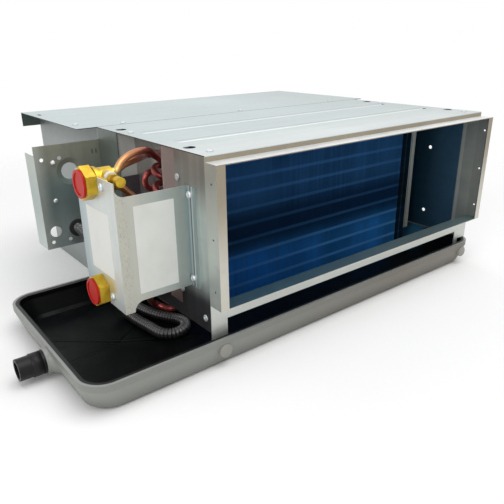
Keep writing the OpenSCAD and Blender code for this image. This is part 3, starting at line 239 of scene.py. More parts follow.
def plate(outline, lift, thick, plane):
    """Thin plate: a closed outline in a plane, given by its two axes, and its copy a thickness out."""
    first, second = plane
    third = 3 - first - second
    p = np.zeros((2, len(outline), 3))
    p[..., first], p[..., second] = outline[:, 0], outline[:, 1]
    p[0, :, third], p[1, :, third] = lift, lift + thick
    return round_skin(at(p))


CORNER_STEPS = 5


def rounded(a0, a1, b0, b1, r):
    """Outline of a rectangle whose corners are quarter circles."""
    a = np.linspace(0, math.pi / 2, CORNER_STEPS)
    arc = np.stack([np.cos(a), np.sin(a)], axis=1) * r
    quarter = [arc, arc[:, ::-1] * [-1, 1], -arc, arc[:, ::-1] * [1, -1]]
    centres = [(a1 - r, b1 - r), (a0 + r, b1 - r), (a0 + r, b0 + r), (a1 - r, b0 + r)]
    return np.concatenate([q + c for q, c in zip(quarter, centres)])


# Finishes


# Share of a mark's half width over which it is at its full strength
FLAT_SHARE = 0.4


class Reading:
    """One output of a tree's nodes; arithmetic on it adds Math nodes."""

    def __init__(self, owner, socket):
        self.owner, self.socket = owner, socket

    def math(self, operation, *values):
        return self.owner.node("ShaderNodeMath", {"operation": operation}, dict(enumerate(values)))

    def __add__(self, other):
        return self.math("ADD", self, other)

    def __radd__(self, other):
        return self.math("ADD", other, self)

    def __sub__(self, other):
        return self.math("SUBTRACT", self, other)

    def __rsub__(self, other):
        return self.math("SUBTRACT", other, self)

    def __mul__(self, other):
        return self.math("MULTIPLY", self, other)

    def __rmul__(self, other):
        return self.math("MULTIPLY", other, self)

    def __truediv__(self, other):
        return self.math("DIVIDE", self, other)

    def __pow__(self, other):
        return self.math("POWER", self, other)

    def __abs__(self):
        return self.math("ABSOLUTE", self)

    def band(self, low, high):
        """0 below low, 1 above high, smooth between; falls instead where low is above high."""
        ends = {1: min(low, high), 2: max(low, high), 3: float(low > high), 4: float(low < high)}
        settings = {"interpolation_type": "SMOOTHSTEP"}
        return self.owner.node("ShaderNodeMapRange", settings, {0: self, **ends})

    def near(self, place, half):
        """1 at a place, 0 from half a width away, smooth between."""
        return abs(self - place).band(half, half * FLAT_SHARE)


class Nodes:
    """The node tree of a material or of the surround."""

    def __init__(self, tree):
        self.tree = tree

    def put(self, socket, value):
        """Links a reading to a socket, or sets the socket's own value."""
        if isinstance(value, Reading):
            self.tree.links.new(value.socket, socket)
        elif isinstance(value, tuple) and len(value) == 3 and socket.type == "RGBA":
            socket.default_value = (*value, 1.0)
        else:
            socket.default_value = value

    def node(self, kind, settings=None, sockets=None, out=0):
        """Any node: its settings first, then its sockets by index or name; gives one of its outputs."""
        made = self.tree.nodes.new(kind)
        for key, value in (settings or {}).items():
            setattr(made, key, value)
        for key, value in (sockets or {}).items():
            self.put(made.inputs[key], value)
        return Reading(self, made.outputs[out])


# Share of a normal along an axis from which a surface begins to face that way, and faces it fully
TURNED_ASIDE = 0.4
TURNED_FULLY = 0.7
NOISE_ROUGHNESS = 0.55
WHITE = (1.0, 1.0, 1.0)


class Finish(Nodes):
    """A material: one Principled shader and the nodes that feed it."""

    def __init__(self, name, **constants):
        self.material = bpy.data.materials.new(name)
        self.material.use_nodes = True
        super().__init__(self.material.node_tree)
        self.shader = self.tree.nodes["Principled BSDF"]
        for key, value in constants.items():
            self.put(self.shader.inputs[key.replace("_", " ")], value)

    def place(self, stretch=(1, 1, 1)):
        """Object coordinates, scaled along each axis."""
        where = self.node("ShaderNodeTexCoord", out="Object")
        return self.node("ShaderNodeMapping", None, {"Vector": where, "Scale": stretch})

    def coordinate(self, axis):
        """One working-frame coordinate, in millimetres."""
        where = self.node("ShaderNodeTexCoord", out="Object")
        metres = self.node("ShaderNodeSeparateXYZ", None, {0: where}, axis)
        return (metres - float(corner[axis])) / MM

    def facing(self, axis):
        """How far the surface faces along one axis, from -1 to 1."""
        normal = self.node("ShaderNodeNewGeometry", out="Normal")
        return self.node("ShaderNodeSeparateXYZ", None, {0: normal}, axis)

    def faces(self, axis, way):
        """1 where the surface faces along an axis, the way being 1 or -1; 0 where it turns aside."""
        return self.facing(axis).band(way * TURNED_ASIDE, way * TURNED_FULLY)

    def noise(self, scale, detail=3.0, stretch=(1, 1, 1)):
        """Cloudy noise from 0 to 1, with its grain stretched along each axis."""
        sockets = {"Vector": self.place(stretch), "Scale": scale, "Detail": detail}
        sockets["Roughness"] = NOISE_ROUGHNESS
        return self.node("ShaderNodeTexNoise", None, sockets)

    def cells(self, scale):
        """A random grey for each cell of a Voronoi pattern."""
        sockets = {"Vector": self.place(), "Scale": scale}
        colour = self.node("ShaderNodeTexVoronoi", None, sockets, "Color")
        return self.node("ShaderNodeRGBToBW", None, {0: colour})

    def mix(self, share, first, second):
        return self.node("ShaderNodeMix", {"data_type": "RGBA"}, {0: share, 6: first, 7: second}, 2)

    def times(self, first, second):
        settings = {"data_type": "RGBA", "blend_type": "MULTIPLY"}
        return self.node("ShaderNodeMix", settings, {0: 1.0, 6: first, 7: second}, 2)

    def colour(self, value):
        self.put(self.shader.inputs["Base Color"], value)

    def rough(self, value):
        self.put(self.shader.inputs["Roughness"], value)

    def metal(self, value):
        self.put(self.shader.inputs["Metallic"], value)

    def relief(self, height, distance, strength):
        """Bump of the given depth in metres."""
        sockets = {"Height": height, "Distance": distance, "Strength": strength}
        self.put(self.shader.inputs["Normal"], self.node("ShaderNodeBump", None, sockets))


def shade(colour, factor):
    """A colour made lighter or darker."""
    return tuple(min(c * factor, 1.0) for c in colour)


def galvanised(name, tone, grain=(1, 1, 1), sheen=0.32, metal=0.6):
    """Zinc-coated sheet: faint crystals, streaks and fine scratches along the grain, smears of handling.

    The tone is a colour, or a function of the finish that gives a colour by place."""
    finish = Finish(name, Metallic=metal)
    crystal = finish.cells(150.0)
    streak = finish.noise(26.0, 4.0, grain)
    scratch = finish.noise(190.0, 2.0, grain)
    smear = finish.noise(7.0, 5.0)
    dirt = finish.noise(38.0, 6.0)
    worn = smear.band(0.35, 0.75) * 0.45 + streak.band(0.3, 0.7) * 0.35 + crystal * 0.2
    grey = finish.mix(worn, (0.82, 0.83, 0.83), WHITE)
    grey = finish.mix(scratch.band(0.6, 0.72) * 0.35, grey, WHITE)
    grey = finish.mix(dirt.band(0.64, 0.8) * 0.35, grey, (0.66, 0.65, 0.62))
    finish.colour(finish.times(tone(finish) if callable(tone) else tone, grey))
    finish.rough(sheen + crystal * 0.08 + streak * 0.12)
    finish.relief(crystal * 0.4 + streak + scratch * 0.3 + smear * 2.0, 0.0004, 0.35)
    return finish


# Roof: the middle lines of its two pressed beads, where they begin and end, and the length they fade over
BEADS = (106.0, 190.0)
BEAD_START, BEAD_END, BEAD_FADE = 20.0, 491.0, 4.0


def roof_tone(f):
    """Pale blue-grey, whitest near the outlet; each bead has a painted highlight on its ridge and painted
    shade in the furrow behind it.

    The seam over the fan deck has a painted shadow line, the sheet edges are painted dark as shade, and
    the flanges are painted in shade."""
    x, y, z = (f.coordinate(i) for i in range(3))
    tone = f.mix(y.band(160.0, 20.0), (0.56, 0.64, 0.645), (0.70, 0.75, 0.75))
    inside = x.band(BEAD_START, BEAD_START + BEAD_FADE) * x.band(BEAD_END, BEAD_END - BEAD_FADE)
    inside = inside * z.band(237.5, 238.5)
    for bead in BEADS:
        # Painted shade in the furrow behind the bead, then a painted highlight along its ridge
        tone = f.mix(inside * y.near(bead + 7.5, 5.0) * 0.55, tone, (0.38, 0.44, 0.45))
        tone = f.mix(inside * y.near(bead - 0.5, 5.5), tone, (0.95, 0.97, 0.98))
    # Painted shadow line in the seam over the fan deck
    tone = f.mix(y.near(DECK_Y, 2.0) * 0.9, tone, (0.06, 0.065, 0.065))
    tone = f.mix(x.band(280.0, 500.0) * 0.2, tone, (0.2, 0.22, 0.22))
    # Painted shade on the left-facing flanges and on the front-facing flanges at the back; the sheet
    # edges painted darker still
    side = f.faces(0, -1)
    shaded = side + f.faces(1, -1) * y.band(380.0, 420.0)
    tone = f.mix(shaded, tone, (0.14, 0.175, 0.165))
    return f.mix(side * z.band(238.6, 239.6), tone, (0.04, 0.045, 0.045))


def collar_tone(f):
    """Grey walls with pale streaks, tan lips that pale downwards, a floor painted dark slate-blue as
    shade and as a reflection of the blue coil, and a white top.
    """
    x, y, z = (f.coordinate(i) for i in range(3))
    wall = f.mix(z.band(120.0, 225.0), (0.60, 0.65, 0.605), (0.44, 0.44, 0.395))
    lip = f.mix(z.band(110.0, 210.0), (0.64, 0.61, 0.54), (0.36, 0.31, 0.235))
    tone = f.mix(f.faces(1, -1), wall, lip)
    # Floor painted dark slate-blue: painted shade and painted reflection of the blue coil
    floor = f.mix(x.band(60.0, 420.0), (0.10, 0.20, 0.27), (0.19, 0.265, 0.28))
    level = f.mix(z.band(90.0, 200.0), floor, (0.86, 0.88, 0.88))
    tone = f.mix(f.faces(2, 1), tone, level)
    inner = f.mix(y.band(3.0, 8.0), (0.17, 0.21, 0.21), (0.46, 0.47, 0.41))
    return f.mix(f.faces(0, -1) * x.band(300.0, 400.0), tone, inner)


def side_tone(f):
    """Painted reflections: pale through the middle, brown-grey at the top and dark at the foot; darker at
    the back, with a painted sheen in upright streaks.
    """
    y, z = f.coordinate(1), f.coordinate(2)
    # Painted reflections: pale through the middle, brown-grey at the top, dark at the foot
    tone = f.mix(z.band(165.0, 220.0), (0.56, 0.63, 0.60), (0.27, 0.262, 0.235))
    tone = f.mix(z.band(102.0, 72.0), tone, (0.065, 0.066, 0.072))
    # Painted sheen in faint upright streaks
    sheen = f.noise(70.0, 2.0, (1, 1, 0.04)).band(0.45, 0.7)
    tone = f.times(tone, f.mix(sheen, (0.9, 0.9, 0.9), (1.08, 1.08, 1.08)))
    return f.mix(y.band(120.0, 215.0), tone, (0.16, 0.185, 0.165))


def far_tone(f):
    """Dark blue-grey inside, where it mirrors the coil, pale at the collar; plain zinc outside."""
    y = f.coordinate(1)
    inside = f.mix(y.band(125.0, 48.0), (0.026, 0.088, 0.155), (0.07, 0.165, 0.26))
    inside = f.mix(y.band(47.5, 45.5), inside, (0.50, 0.52, 0.455))
    inside = f.mix(y.near(43.0, 4.0), inside, (0.70, 0.72, 0.64))
    return f.mix(f.facing(0).band(-0.3, 0.3), inside, (0.46, 0.49, 0.48))


def sheet_tone(f):
    """Tube sheets: the far plate is painted nearly black as a reflection, with a pale line; its flange
    pale with a dark line.

    The near flange mirrors the copper bends, and so does the near plate."""
    x, y = f.coordinate(0), f.coordinate(1)
    beyond = x - FAR_SHEET_X
    flange = f.mix(beyond.band(1.0, 2.0), (0.02, 0.045, 0.07), (0.50, 0.515, 0.455))
    flange = f.mix(beyond.near(4.2, 1.2) * 0.8, flange, (0.13, 0.135, 0.115))
    near = f.mix(y.band(150.0, 190.0), (0.38, 0.275, 0.245), (0.80, 0.85, 0.82))
    flange = f.mix(x.band(300.0, 200.0), flange, near)
    # Far plate painted nearly black as a reflection, with a pale line
    far = f.mix(y.near(117.0, 1.0), (0.03, 0.075, 0.10), (0.22, 0.29, 0.33))
    web = f.mix(x.band(200.0, 300.0), (0.40, 0.37, 0.35), far)
    return f.mix(f.faces(1, -1), web, flange)


# Pressed clip marks on the connection plate
CLIP_X = (-10.5, -5.0)
CLIP_Z = 209.8


def plate_tone(f):
    """Beige at the top, teal in the middle, paler at the bend and the foot, with pressed clip marks."""
    x, z = f.coordinate(0), f.coordinate(2)
    tone = f.mix(z.band(160.0, 212.0), (0.22, 0.305, 0.30), (0.37, 0.385, 0.315))
    tone = f.mix(z.band(150.0, 95.0) * 0.7, tone, (0.46, 0.53, 0.53))
    tone = f.mix(x.band(-70.0, -86.0) * 0.6, tone, (0.60, 0.65, 0.61))
    marks = (x.near(CLIP_X[0], 1.2) + x.near(CLIP_X[1], 1.2)) * z.near(CLIP_Z, 4.0)
    return f.mix(marks * 0.8, tone, (0.05, 0.055, 0.05))


# Bracket: the bend, the middle of the brass's reflection, and the fixing strip's ridges and furrow
BEND_X = -77.5
GLOW_Y, GLOW_Z = 86.0, 99.0
RIDGE_Y = (46.0, 51.5)
FURROW_Y = 48.4


def bracket_tone(f):
    """Pale side plate that mirrors the lower brass connector, greyer front plate, flecked beige bend.

    The fixing strip has two pressed ridges, drawn as painted highlights with painted shade in the furrow
    between them."""
    x, y, z = (f.coordinate(i) for i in range(3))
    front = f.mix(x.band(-30.0, -80.0), (0.42, 0.46, 0.435), (0.55, 0.545, 0.475))
    flecks = f.noise(800.0, 3.0, (1, 1, 0.4)).band(0.56, 0.64) * x.near(BEND_X, 7.0)
    front = f.mix(flecks * 0.4, front, (0.24, 0.225, 0.175))
    side = f.mix(y.band(95.0, 150.0), (0.68, 0.715, 0.695), (0.44, 0.51, 0.52))
    glow = ((y - GLOW_Y) ** 2 + (z - GLOW_Z) ** 2) ** 0.5
    side = f.mix(glow.band(19.0, 3.0) * 0.7, side, (0.66, 0.54, 0.17))
    tone = f.mix(f.faces(1, -1), side, front)
    # Painted highlights on the strip's two pressed ridges, painted shade in the furrow between them
    ridges = y.near(RIDGE_Y[0], 1.6) + y.near(RIDGE_Y[1], 1.6) * 0.6
    strip = f.mix(ridges, (0.36, 0.45, 0.45), (0.72, 0.76, 0.75))
    strip = f.mix(y.near(FURROW_Y, 1.0), strip, (0.12, 0.145, 0.145))
    return f.mix(x.band(-6.0, -2.0), tone, strip)


def plenum_tone(f):
    """Mid grey, with painted shade just below the cover."""
    return f.mix(f.coordinate(2).band(195.0, 238.0), (0.30, 0.33, 0.325), (0.18, 0.195, 0.19))


# The rows' light is seen above the tubes that throw it, which lie behind the fins' edges
ROW_LIFT = 5.4


def blue_fins():
    """Coated fin edges: dark blue, lighter along the tube rows, uneven; painted light on the lower fins
    and painted shade at mid height.
    """
    finish = Finish("blue_fins", Metallic=0.0, Specular_IOR_Level=0.25)
    height = finish.coordinate(2)
    tall = (TUBE_TOP + ROW_LIFT - height) / TUBE_PITCH + 0.5
    near_row = (tall.math("FRACT", tall) - 0.5).near(0.0, 0.15)
    patch = finish.noise(9.0, 3.0, (1, 1, 0.4))
    streak = finish.noise(160.0, 2.0, (1, 0.1, 0.03))
    middle = height.band(58.0, 94.0) * height.band(152.0, 112.0)
    low = height.band(110.0, 50.0)
    # Painted light: the lower fins are lighter
    face = finish.mix(low, (0.042, 0.185, 0.43), (0.045, 0.38, 0.92))
    face = finish.mix(patch.band(0.45, 0.7) * 0.5, face, (0.005, 0.065, 0.19))
    face = finish.mix(streak.band(0.4, 0.7) * 0.6, face, (0.06, 0.235, 0.55))
    # Painted shade at mid height
    face = finish.mix(middle * 0.82, face, (0.0018, 0.026, 0.10))
    row_light = near_row * (0.16 + low * 0.5 + patch * 0.36) * (1.0 - middle * 0.35)
    row = finish.mix(low, (0.15, 0.48, 1.0), (0.17, 0.56, 1.0))
    finish.colour(finish.mix(row_light, face, row))
    finish.rough(0.42 + streak * 0.2)
    finish.relief(streak, 0.0003, 0.4)
    return finish


def copper():
    """Copper darkened by brazing: orange at the connectors, wine red at the coil, scaly in patches."""
    finish = Finish("red_copper", Metallic=0.75)
    x = finish.coordinate(0)
    scale = finish.noise(60.0, 5.0)
    fine = finish.noise(240.0, 3.0)
    heat = (x + (scale - 0.5) * 26.0).band(-48.0, 4.0)
    warm = finish.mix(fine * 0.5, (0.62, 0.29, 0.12), (0.48, 0.18, 0.085))
    warm = finish.mix(x.band(-50.0, -60.0), warm, (0.72, 0.50, 0.16))
    dark = finish.mix(scale.band(0.35, 0.7), (0.40, 0.088, 0.078), (0.22, 0.044, 0.044))
    finish.colour(finish.mix(heat, warm, dark))
    finish.rough(0.2 + scale * 0.2)
    finish.relief(scale + fine * 0.4, 0.0004, 0.4)
    return finish


def brass():
    """Cast brass: bright yellow, duller in hollows, with fine turning marks."""
    finish = Finish("brass", Metallic=0.7)
    cast = finish.noise(70.0, 5.0)
    fine = finish.noise(420.0, 3.0)
    base = finish.mix(cast.band(0.35, 0.7), (0.52, 0.33, 0.022), (0.70, 0.48, 0.04))
    finish.colour(finish.mix(fine.band(0.58, 0.75) * 0.5, base, (0.40, 0.24, 0.03)))
    finish.rough(0.26 + cast * 0.2)
    finish.relief(fine + cast, 0.0003, 0.4)
    return finish


def plastic(name, tone, rough, grain=600.0, spread=0.12, gloss=0.5):
    """Moulded plastic: a slightly uneven tone under a fine spark-eroded grain.

    The tone is a colour, or a function of the finish that gives a colour by place."""
    finish = Finish(name, Metallic=0.0, Specular_IOR_Level=gloss)
    cloud = finish.noise(14.0, 4.0)
    pit = finish.noise(grain, 2.0)
    if callable(tone):
        finish.colour(tone(finish))
    else:
        finish.colour(finish.mix(cloud, shade(tone, 1 - spread), shade(tone, 1 + spread)))
    finish.rough(rough - 0.06 + cloud * 0.12)
    finish.relief(pit + cloud * 0.5, 0.0002, 0.4)
    return finish


def cord_tone(f):
    """Black, with a painted highlight where the ribs' crests face up."""
    return f.mix(f.facing(2).band(0.45, 0.95), (0.016, 0.016, 0.018), (0.085, 0.088, 0.092))


# The pan's rim: its width outside the lining, and its corners' radius
RIM_W = 7.05
RIM_CORNER = 30.0


def rim_reach(finish):
    """Distance in from the pan's rounded outline: r - |max(|p - c| - h + r, 0)|.

    Here c is the outline's middle, h half its size and r its corners' radius."""
    over = []
    for axis in (0, 1):
        low, high = span("pan_liner", axis)
        off = finish.coordinate(axis) - (low + high) / 2
        past = abs(off) - ((high - low) / 2 + RIM_W - RIM_CORNER)
        over.append(past.math("MAXIMUM", past, 0.0))
    return RIM_CORNER - (over[0] ** 2 + over[1] ** 2) ** 0.5


def pan_coating():
    """Grey pan coating, warmer towards the far end, scuffed and speckled.

    The black lining laps over the inner half of the rim, which is painted paler as a highlight."""
    finish = Finish("pan_coating", Metallic=0.15)
    x, height = finish.coordinate(0), finish.coordinate(2)
    rim = finish.facing(2).band(0.7, 0.95) * height.band(24.0, 30.0)
    speckle = finish.noise(500.0, 2.0)
    scuff = finish.noise(30.0, 6.0, (1, 1, 3))
    cloud = finish.noise(6.0, 3.0)
    wall = finish.mix(x.band(-60.0, 330.0), (0.255, 0.265, 0.245), (0.19, 0.178, 0.15))
    # Painted shade: the wall darkens towards its foot
    foot = finish.mix(height.band(2.0, 24.0), (0.72, 0.72, 0.71), WHITE)
    top = finish.mix(height.band(27.0, 30.0), WHITE, (0.88, 0.88, 0.87))
    wall = finish.times(finish.times(wall, foot), top)
    wall = finish.mix(cloud.band(0.4, 0.75) * 0.2, wall, (0.30, 0.30, 0.285))
    # Painted highlight on the up-facing rim
    wall = finish.mix(rim * 0.8, wall, (0.31, 0.32, 0.315))
    wall = finish.mix(scuff.band(0.64, 0.8) * 0.3, wall, (0.40, 0.40, 0.38))
    lapped = rim * rim_reach(finish).band(2.6, 3.6)
    finish.colour(finish.mix(lapped, wall, (0.004, 0.0045, 0.005)))
    finish.rough(0.4 + cloud * 0.15)
    finish.relief(speckle + scuff, 0.0003, 0.4)
    return finish


# Creases of the lining's floor: from (x, y) to (x, y)
CREASES = [
    ((-140, 120), (-64, 128)), ((-142, 196), (-64, 128)),
    ((-64, 128), (20, 74)), ((-64, 128), (40, 196)),
]
CREASE_W = 3.0


def black_lining():
    """Black pan lining: glossy, dusty, with pressed creases that fall towards the drain and are painted
    darker as shade.

    Its far end mirrors the dark blue wall above it."""
    finish = Finish("black_lining", Metallic=0.0, Specular_IOR_Level=0.12)
    x, y = finish.coordinate(0), finish.coordinate(1)
    dust = finish.noise(45.0, 6.0)
    ripple = finish.noise(11.0, 3.0)
    fold = 0.0
    for (x0, y0), (x1, y1) in CREASES:
        long = math.hypot(x1 - x0, y1 - y0)
        ux, uy = (x1 - x0) / long, (y1 - y0) / long
        along = (x - x0) * ux + (y - y0) * uy
        off = (x - x0) * uy - (y - y0) * ux
        within = along.band(-2.0, 2.0) * along.band(long + 2.0, long - 2.0)
        fold = fold + off.near(0.0, CREASE_W) * within
    dusty = dust.band(0.5, 0.85) * 0.5
    tone = finish.mix(dusty, (0.0022, 0.0028, 0.0032), (0.0095, 0.0105, 0.0115))
    under_wall = x.band(461.0, 466.0) * y.band(85.0, 100.0)
    tone = finish.mix(under_wall, tone, (0.03, 0.13, 0.23))
    # Painted shade along the creases
    finish.colour(finish.mix(fold * 0.5, tone, (0.001, 0.001, 0.001)))
    finish.rough(0.34 + dust.band(0.4, 0.8) * 0.25)
    finish.relief(ripple * 0.5 + dust * 0.1 - fold, 0.0015, 0.5)
    return finish


def paper():
    """Off-white sticker paper with faint fibres and slightly soiled edges."""
    finish = Finish("sticker_paper", Metallic=0.0)
    fibre = finish.noise(300.0, 4.0, (1, 1, 0.3))
    soil = finish.noise(20.0, 5.0)
    soiled = soil.band(0.45, 0.8) * 0.6
    finish.colour(finish.mix(soiled, (0.76, 0.77, 0.73), (0.64, 0.64, 0.595)))
    finish.rough(0.5 + fibre * 0.15)
    finish.relief(fibre, 0.0001, 0.4)
    return finish


def foam():
    """Closed-cell foam: dark, with open pores."""
    finish = Finish("end_pad_foam", Metallic=0.0)
    pore = finish.cells(900.0)
    cloud = finish.noise(25.0, 3.0)
    pale = pore * 0.6 + cloud * 0.4
    finish.colour(finish.mix(pale, (0.036, 0.027, 0.032), (0.10, 0.082, 0.092)))
    finish.rough(0.8 + pore * 0.15)
    finish.relief(pore, 0.0006, 0.6)
    return finish


def winding():
    """Varnished stator: dark laminations with copper showing in bands along the axis."""
    finish = Finish("varnished_winding", Metallic=0.4)
    turns = finish.noise(900.0, 2.0, (0.05, 1, 1))
    cloud = finish.noise(40.0, 3.0)
    finish.colour(finish.mix(turns, (0.20, 0.07, 0.03), (0.45, 0.19, 0.07)))
    finish.rough(0.35 + cloud * 0.2)
    finish.relief(turns, 0.0004, 0.5)
    return finish


def tape():
    """White sealing tape, wound in overlapping layers."""
    finish = Finish("sealing_tape", Metallic=0.0)
    layer = finish.noise(500.0, 3.0, (1, 3, 1))
    finish.colour(finish.mix(layer, (0.66, 0.65, 0.6), (0.86, 0.86, 0.84)))
    finish.rough(0.5 + layer * 0.2)
    finish.relief(layer, 0.0003, 0.5)
    return finish


roof_zinc = galvanised("roof_zinc", roof_tone, (0.15, 3, 3), 0.26)
collar_zinc = galvanised("collar_zinc", collar_tone, (1, 1, 0.2))
hanger_zinc = galvanised("hanger_zinc", (0.66, 0.68, 0.64), (0.2, 1, 3))
side_zinc = galvanised("side_zinc", side_tone, (1, 0.3, 3))
far_zinc = galvanised("far_zinc", far_tone, (1, 0.3, 3))
sheet_zinc = galvanised("sheet_zinc", sheet_tone, (1, 1, 0.3), 0.12, 0.75)
sheet_zinc.metal(0.75 - sheet_zinc.faces(1, -1) * 0.6)
bracket_zinc = galvanised("bracket_zinc", bracket_tone, (3, 3, 0.15))
plate_zinc = galvanised("plate_zinc", plate_tone, (3, 1, 0.15))
plenum_zinc = galvanised("plenum_zinc", plenum_tone, (1, 0.2, 3))
inner_zinc = galvanised("inner_zinc", (0.42, 0.45, 0.43), (1, 0.3, 3), 0.4)
screw_zinc = galvanised("screw_zinc", (0.74, 0.77, 0.79), (1, 1, 1), 0.22)
wheel_zinc = galvanised("wheel_zinc", (0.46, 0.49, 0.50), (0.2, 3, 3), 0.35)
ground_steel = galvanised("ground_steel", (0.60, 0.61, 0.62), (3, 1, 1), 0.2)
filter_alu = galvanised("filter_aluminium", (0.66, 0.68, 0.69), (0.2, 3, 3), 0.34)
solder = galvanised("solder", (0.62, 0.60, 0.58), (1, 1, 1), 0.3)
fin_blue = blue_fins()
red_copper = copper()
yellow_brass = brass()
pan_grey = pan_coating()
lining = black_lining()
sticker = paper()
pad_foam = foam()
stator_varnish = winding()
white_tape = tape()
cap_red = plastic("cap_red", (0.48, 0.014, 0.009), 0.4, gloss=0.2)
nozzle_black = plastic("nozzle_black", (0.006, 0.006, 0.007), 0.42, 350.0, 0.3, 0.25)
cord_black = plastic("conduit_black", cord_tone, 0.3, 420.0, gloss=0.9)
rubber_black = plastic("grommet_rubber", (0.018, 0.018, 0.019), 0.6, 800.0, 0.25)
terminal_ivory = plastic("terminal_ivory", (0.70, 0.67, 0.56), 0.45)
case_black = plastic("case_black", (0.02, 0.021, 0.023), 0.4, 500.0, 0.3)
motor_paint = plastic("motor_paint", (0.09, 0.10, 0.11), 0.4, 300.0, 0.2)
plug_grey = plastic("plug_grey", (0.27, 0.262, 0.235), 0.45, 400.0)
net_black = plastic("net_black", (0.03, 0.032, 0.036), 0.55, 900.0, 0.3)

DRESS = {
    roof_zinc: "top_panel rear_cover",
    collar_zinc: "outlet_collar",
    hanger_zinc: "pan_hanger",
    side_zinc: "left_side_plate",
    far_zinc: "right_side_plate",
    sheet_zinc: "tube_sheet_left tube_sheet_right",
    bracket_zinc: "connection_bracket",
    plate_zinc: "connection_plate",
    plenum_zinc: "plenum_left_panel plenum_right_panel plenum_bottom_panel",
    inner_zinc: "fan_deck pan_rear_bracket fan_sides_left fan_sides_right "
    "fan_wrap_left fan_wrap_right motor_cradle motor_strap",
    screw_zinc: "casing_screws bracket_screws",
    wheel_zinc: "fan_wheel_left fan_wheel_right",
    ground_steel: "motor_shaft motor_rotor motor_bearings",
    filter_alu: "filter_frame",
    fin_blue: "coil_fins",
    red_copper: "coil_tubes far_bends return_bends upper_branch_pipes lower_branch_pipes",
    yellow_brass: "upper_connector lower_connector vent_body vent_screw",
    pan_grey: "drain_pan",
    lining: "pan_liner",
    pad_foam: "end_foam",
    stator_varnish: "motor_stator",
    cap_red: "upper_cap lower_cap",
    nozzle_black: "drain_nozzle",
    cord_black: "conduit",
    rubber_black: "grommet",
    terminal_ivory: "terminal_block",
    case_black: "run_capacitor conduit_plug",
    motor_paint: "motor_shell motor_end_cap",
    net_black: "filter_mesh",
}
for finish, names in DRESS.items():
    for name in names.split():
        mesh = nodes[name].data
        mesh.materials.clear()
        mesh.materials.append(finish.material)


# Conduit: the same route as the solid's, in shares of entry_x, of deck_y and of the grommet's height
ENTRY_X = 44.0
GROMMET_Z = 109.0
GROMMET_OUT = 3.0
CONDUIT_LEAD = 5.0
CONDUIT_Z = 12.0
RUN_GAP = 0.05
PLUG_Y = span("conduit_plug", 1)[0]
PLUG_X = sum(span("conduit_plug", 0)) / 2
CONDUIT_SHAPE = np.array([
    (1, 0.903, 0.959), (0.977, 0.86, 0.856), (0.932, 0.821, 0.691), (0.886, 0.785, 0.485),
    (0.841, 0.749, 0.278), (0.773, 0.706, 0.113), (0.705, 0.649, 0.021), (0.659, 0.584, 0),
    (0.625, 0.52, 0), (0.568, 0.455, 0), (0.523, 0.394, 0), (0.464, 0.36, 0),
    (0.305, 0.334, 0), (0.084, 0.325, 0), (-0.136, 0.334, 0), (-0.295, 0.36, 0),
    (-0.355, 0.394, 0), (-0.295, 0.437, 0), (-0.136, 0.48, 0), (0.023, 0.527, 0),
    (0.136, 0.577, 0), (0.205, 0.624, 0),
])
lead = np.arange(3)[:, None] * [0.0, CONDUIT_LEAD, 0.0]
CONDUIT_ROUTE = np.concatenate([
    (-ENTRY_X, DECK_Y - GROMMET_OUT - RUN_GAP, GROMMET_Z) - lead,
    (0, 0, CONDUIT_Z) + CONDUIT_SHAPE * [-ENTRY_X, DECK_Y, GROMMET_Z - CONDUIT_Z],
    (PLUG_X, PLUG_Y - RUN_GAP, CONDUIT_Z) - lead[::-1],
])
CONDUIT_R = 7.0
RIB_PITCH = 4.0
RIB_STEPS = 8
RIB_DEPTH = 1.7
RIB_SHARPNESS = 1.5
PIPE_SIDES = 24
STRETCH_STEPS = 40
PATH_STEP = 4.0


def conduit():
    """Corrugated tube: the radius dips by the rib depth once every rib pitch along the route."""
    curve = spline(CONDUIT_ROUTE, STRETCH_STEPS)
    path, run = evenly(curve, RIB_PITCH / RIB_STEPS)
    dip = 0.5 - 0.5 * np.cos(2 * math.pi * run / RIB_PITCH)
    radius = CONDUIT_R - RIB_DEPTH * dip**RIB_SHARPNESS
    made = piece("conduit_ribbed", round_skin(at(rings(path, radius, PIPE_SIDES))), cord_black)
    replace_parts(made, "conduit")
    line, run = evenly(curve, PATH_STEP)


conduit()


# Fin pack
FIN_PITCH = 1.8
FIN_T = 0.16
FIN_WAVE = 0.28
FIN_WAVES = 3
FIN_STEPS = 12
FIN_CLEAR = 0.8


def fin_pack():
    """Thin upright fins: each is a strip whose x ripples once per tube row as y runs back."""
    x0, x1 = span("tube_sheet_left", 0)[1] + FIN_CLEAR, FAR_SHEET_X - FIN_CLEAR
    y0, y1 = span("coil_fins", 1)
    z0, z1 = span("coil_fins", 2)
    count = int((x1 - x0) / FIN_PITCH)
    x = np.linspace(x0, x1, count)
    y = np.linspace(y0, y1, FIN_STEPS)
    wave = FIN_WAVE * np.sin(2 * math.pi * (y - y0) / (y1 - y0) * FIN_WAVES)
    side = np.concatenate([wave + FIN_T / 2, (wave - FIN_T / 2)[::-1]])
    back = np.concatenate([y, y[::-1]])
    grid = np.zeros((count, 2, 2 * FIN_STEPS, 3))
    grid[..., 0] = x[:, None, None] + side
    grid[..., 1] = back
    grid[..., 2] = np.array([z0, z1])[None, :, None]
    return join([round_skin(at(g)) for g in grid])


fins = piece("fin_pack", fin_pack(), fin_blue, smooth=False)
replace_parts(fins, "coil_fins")

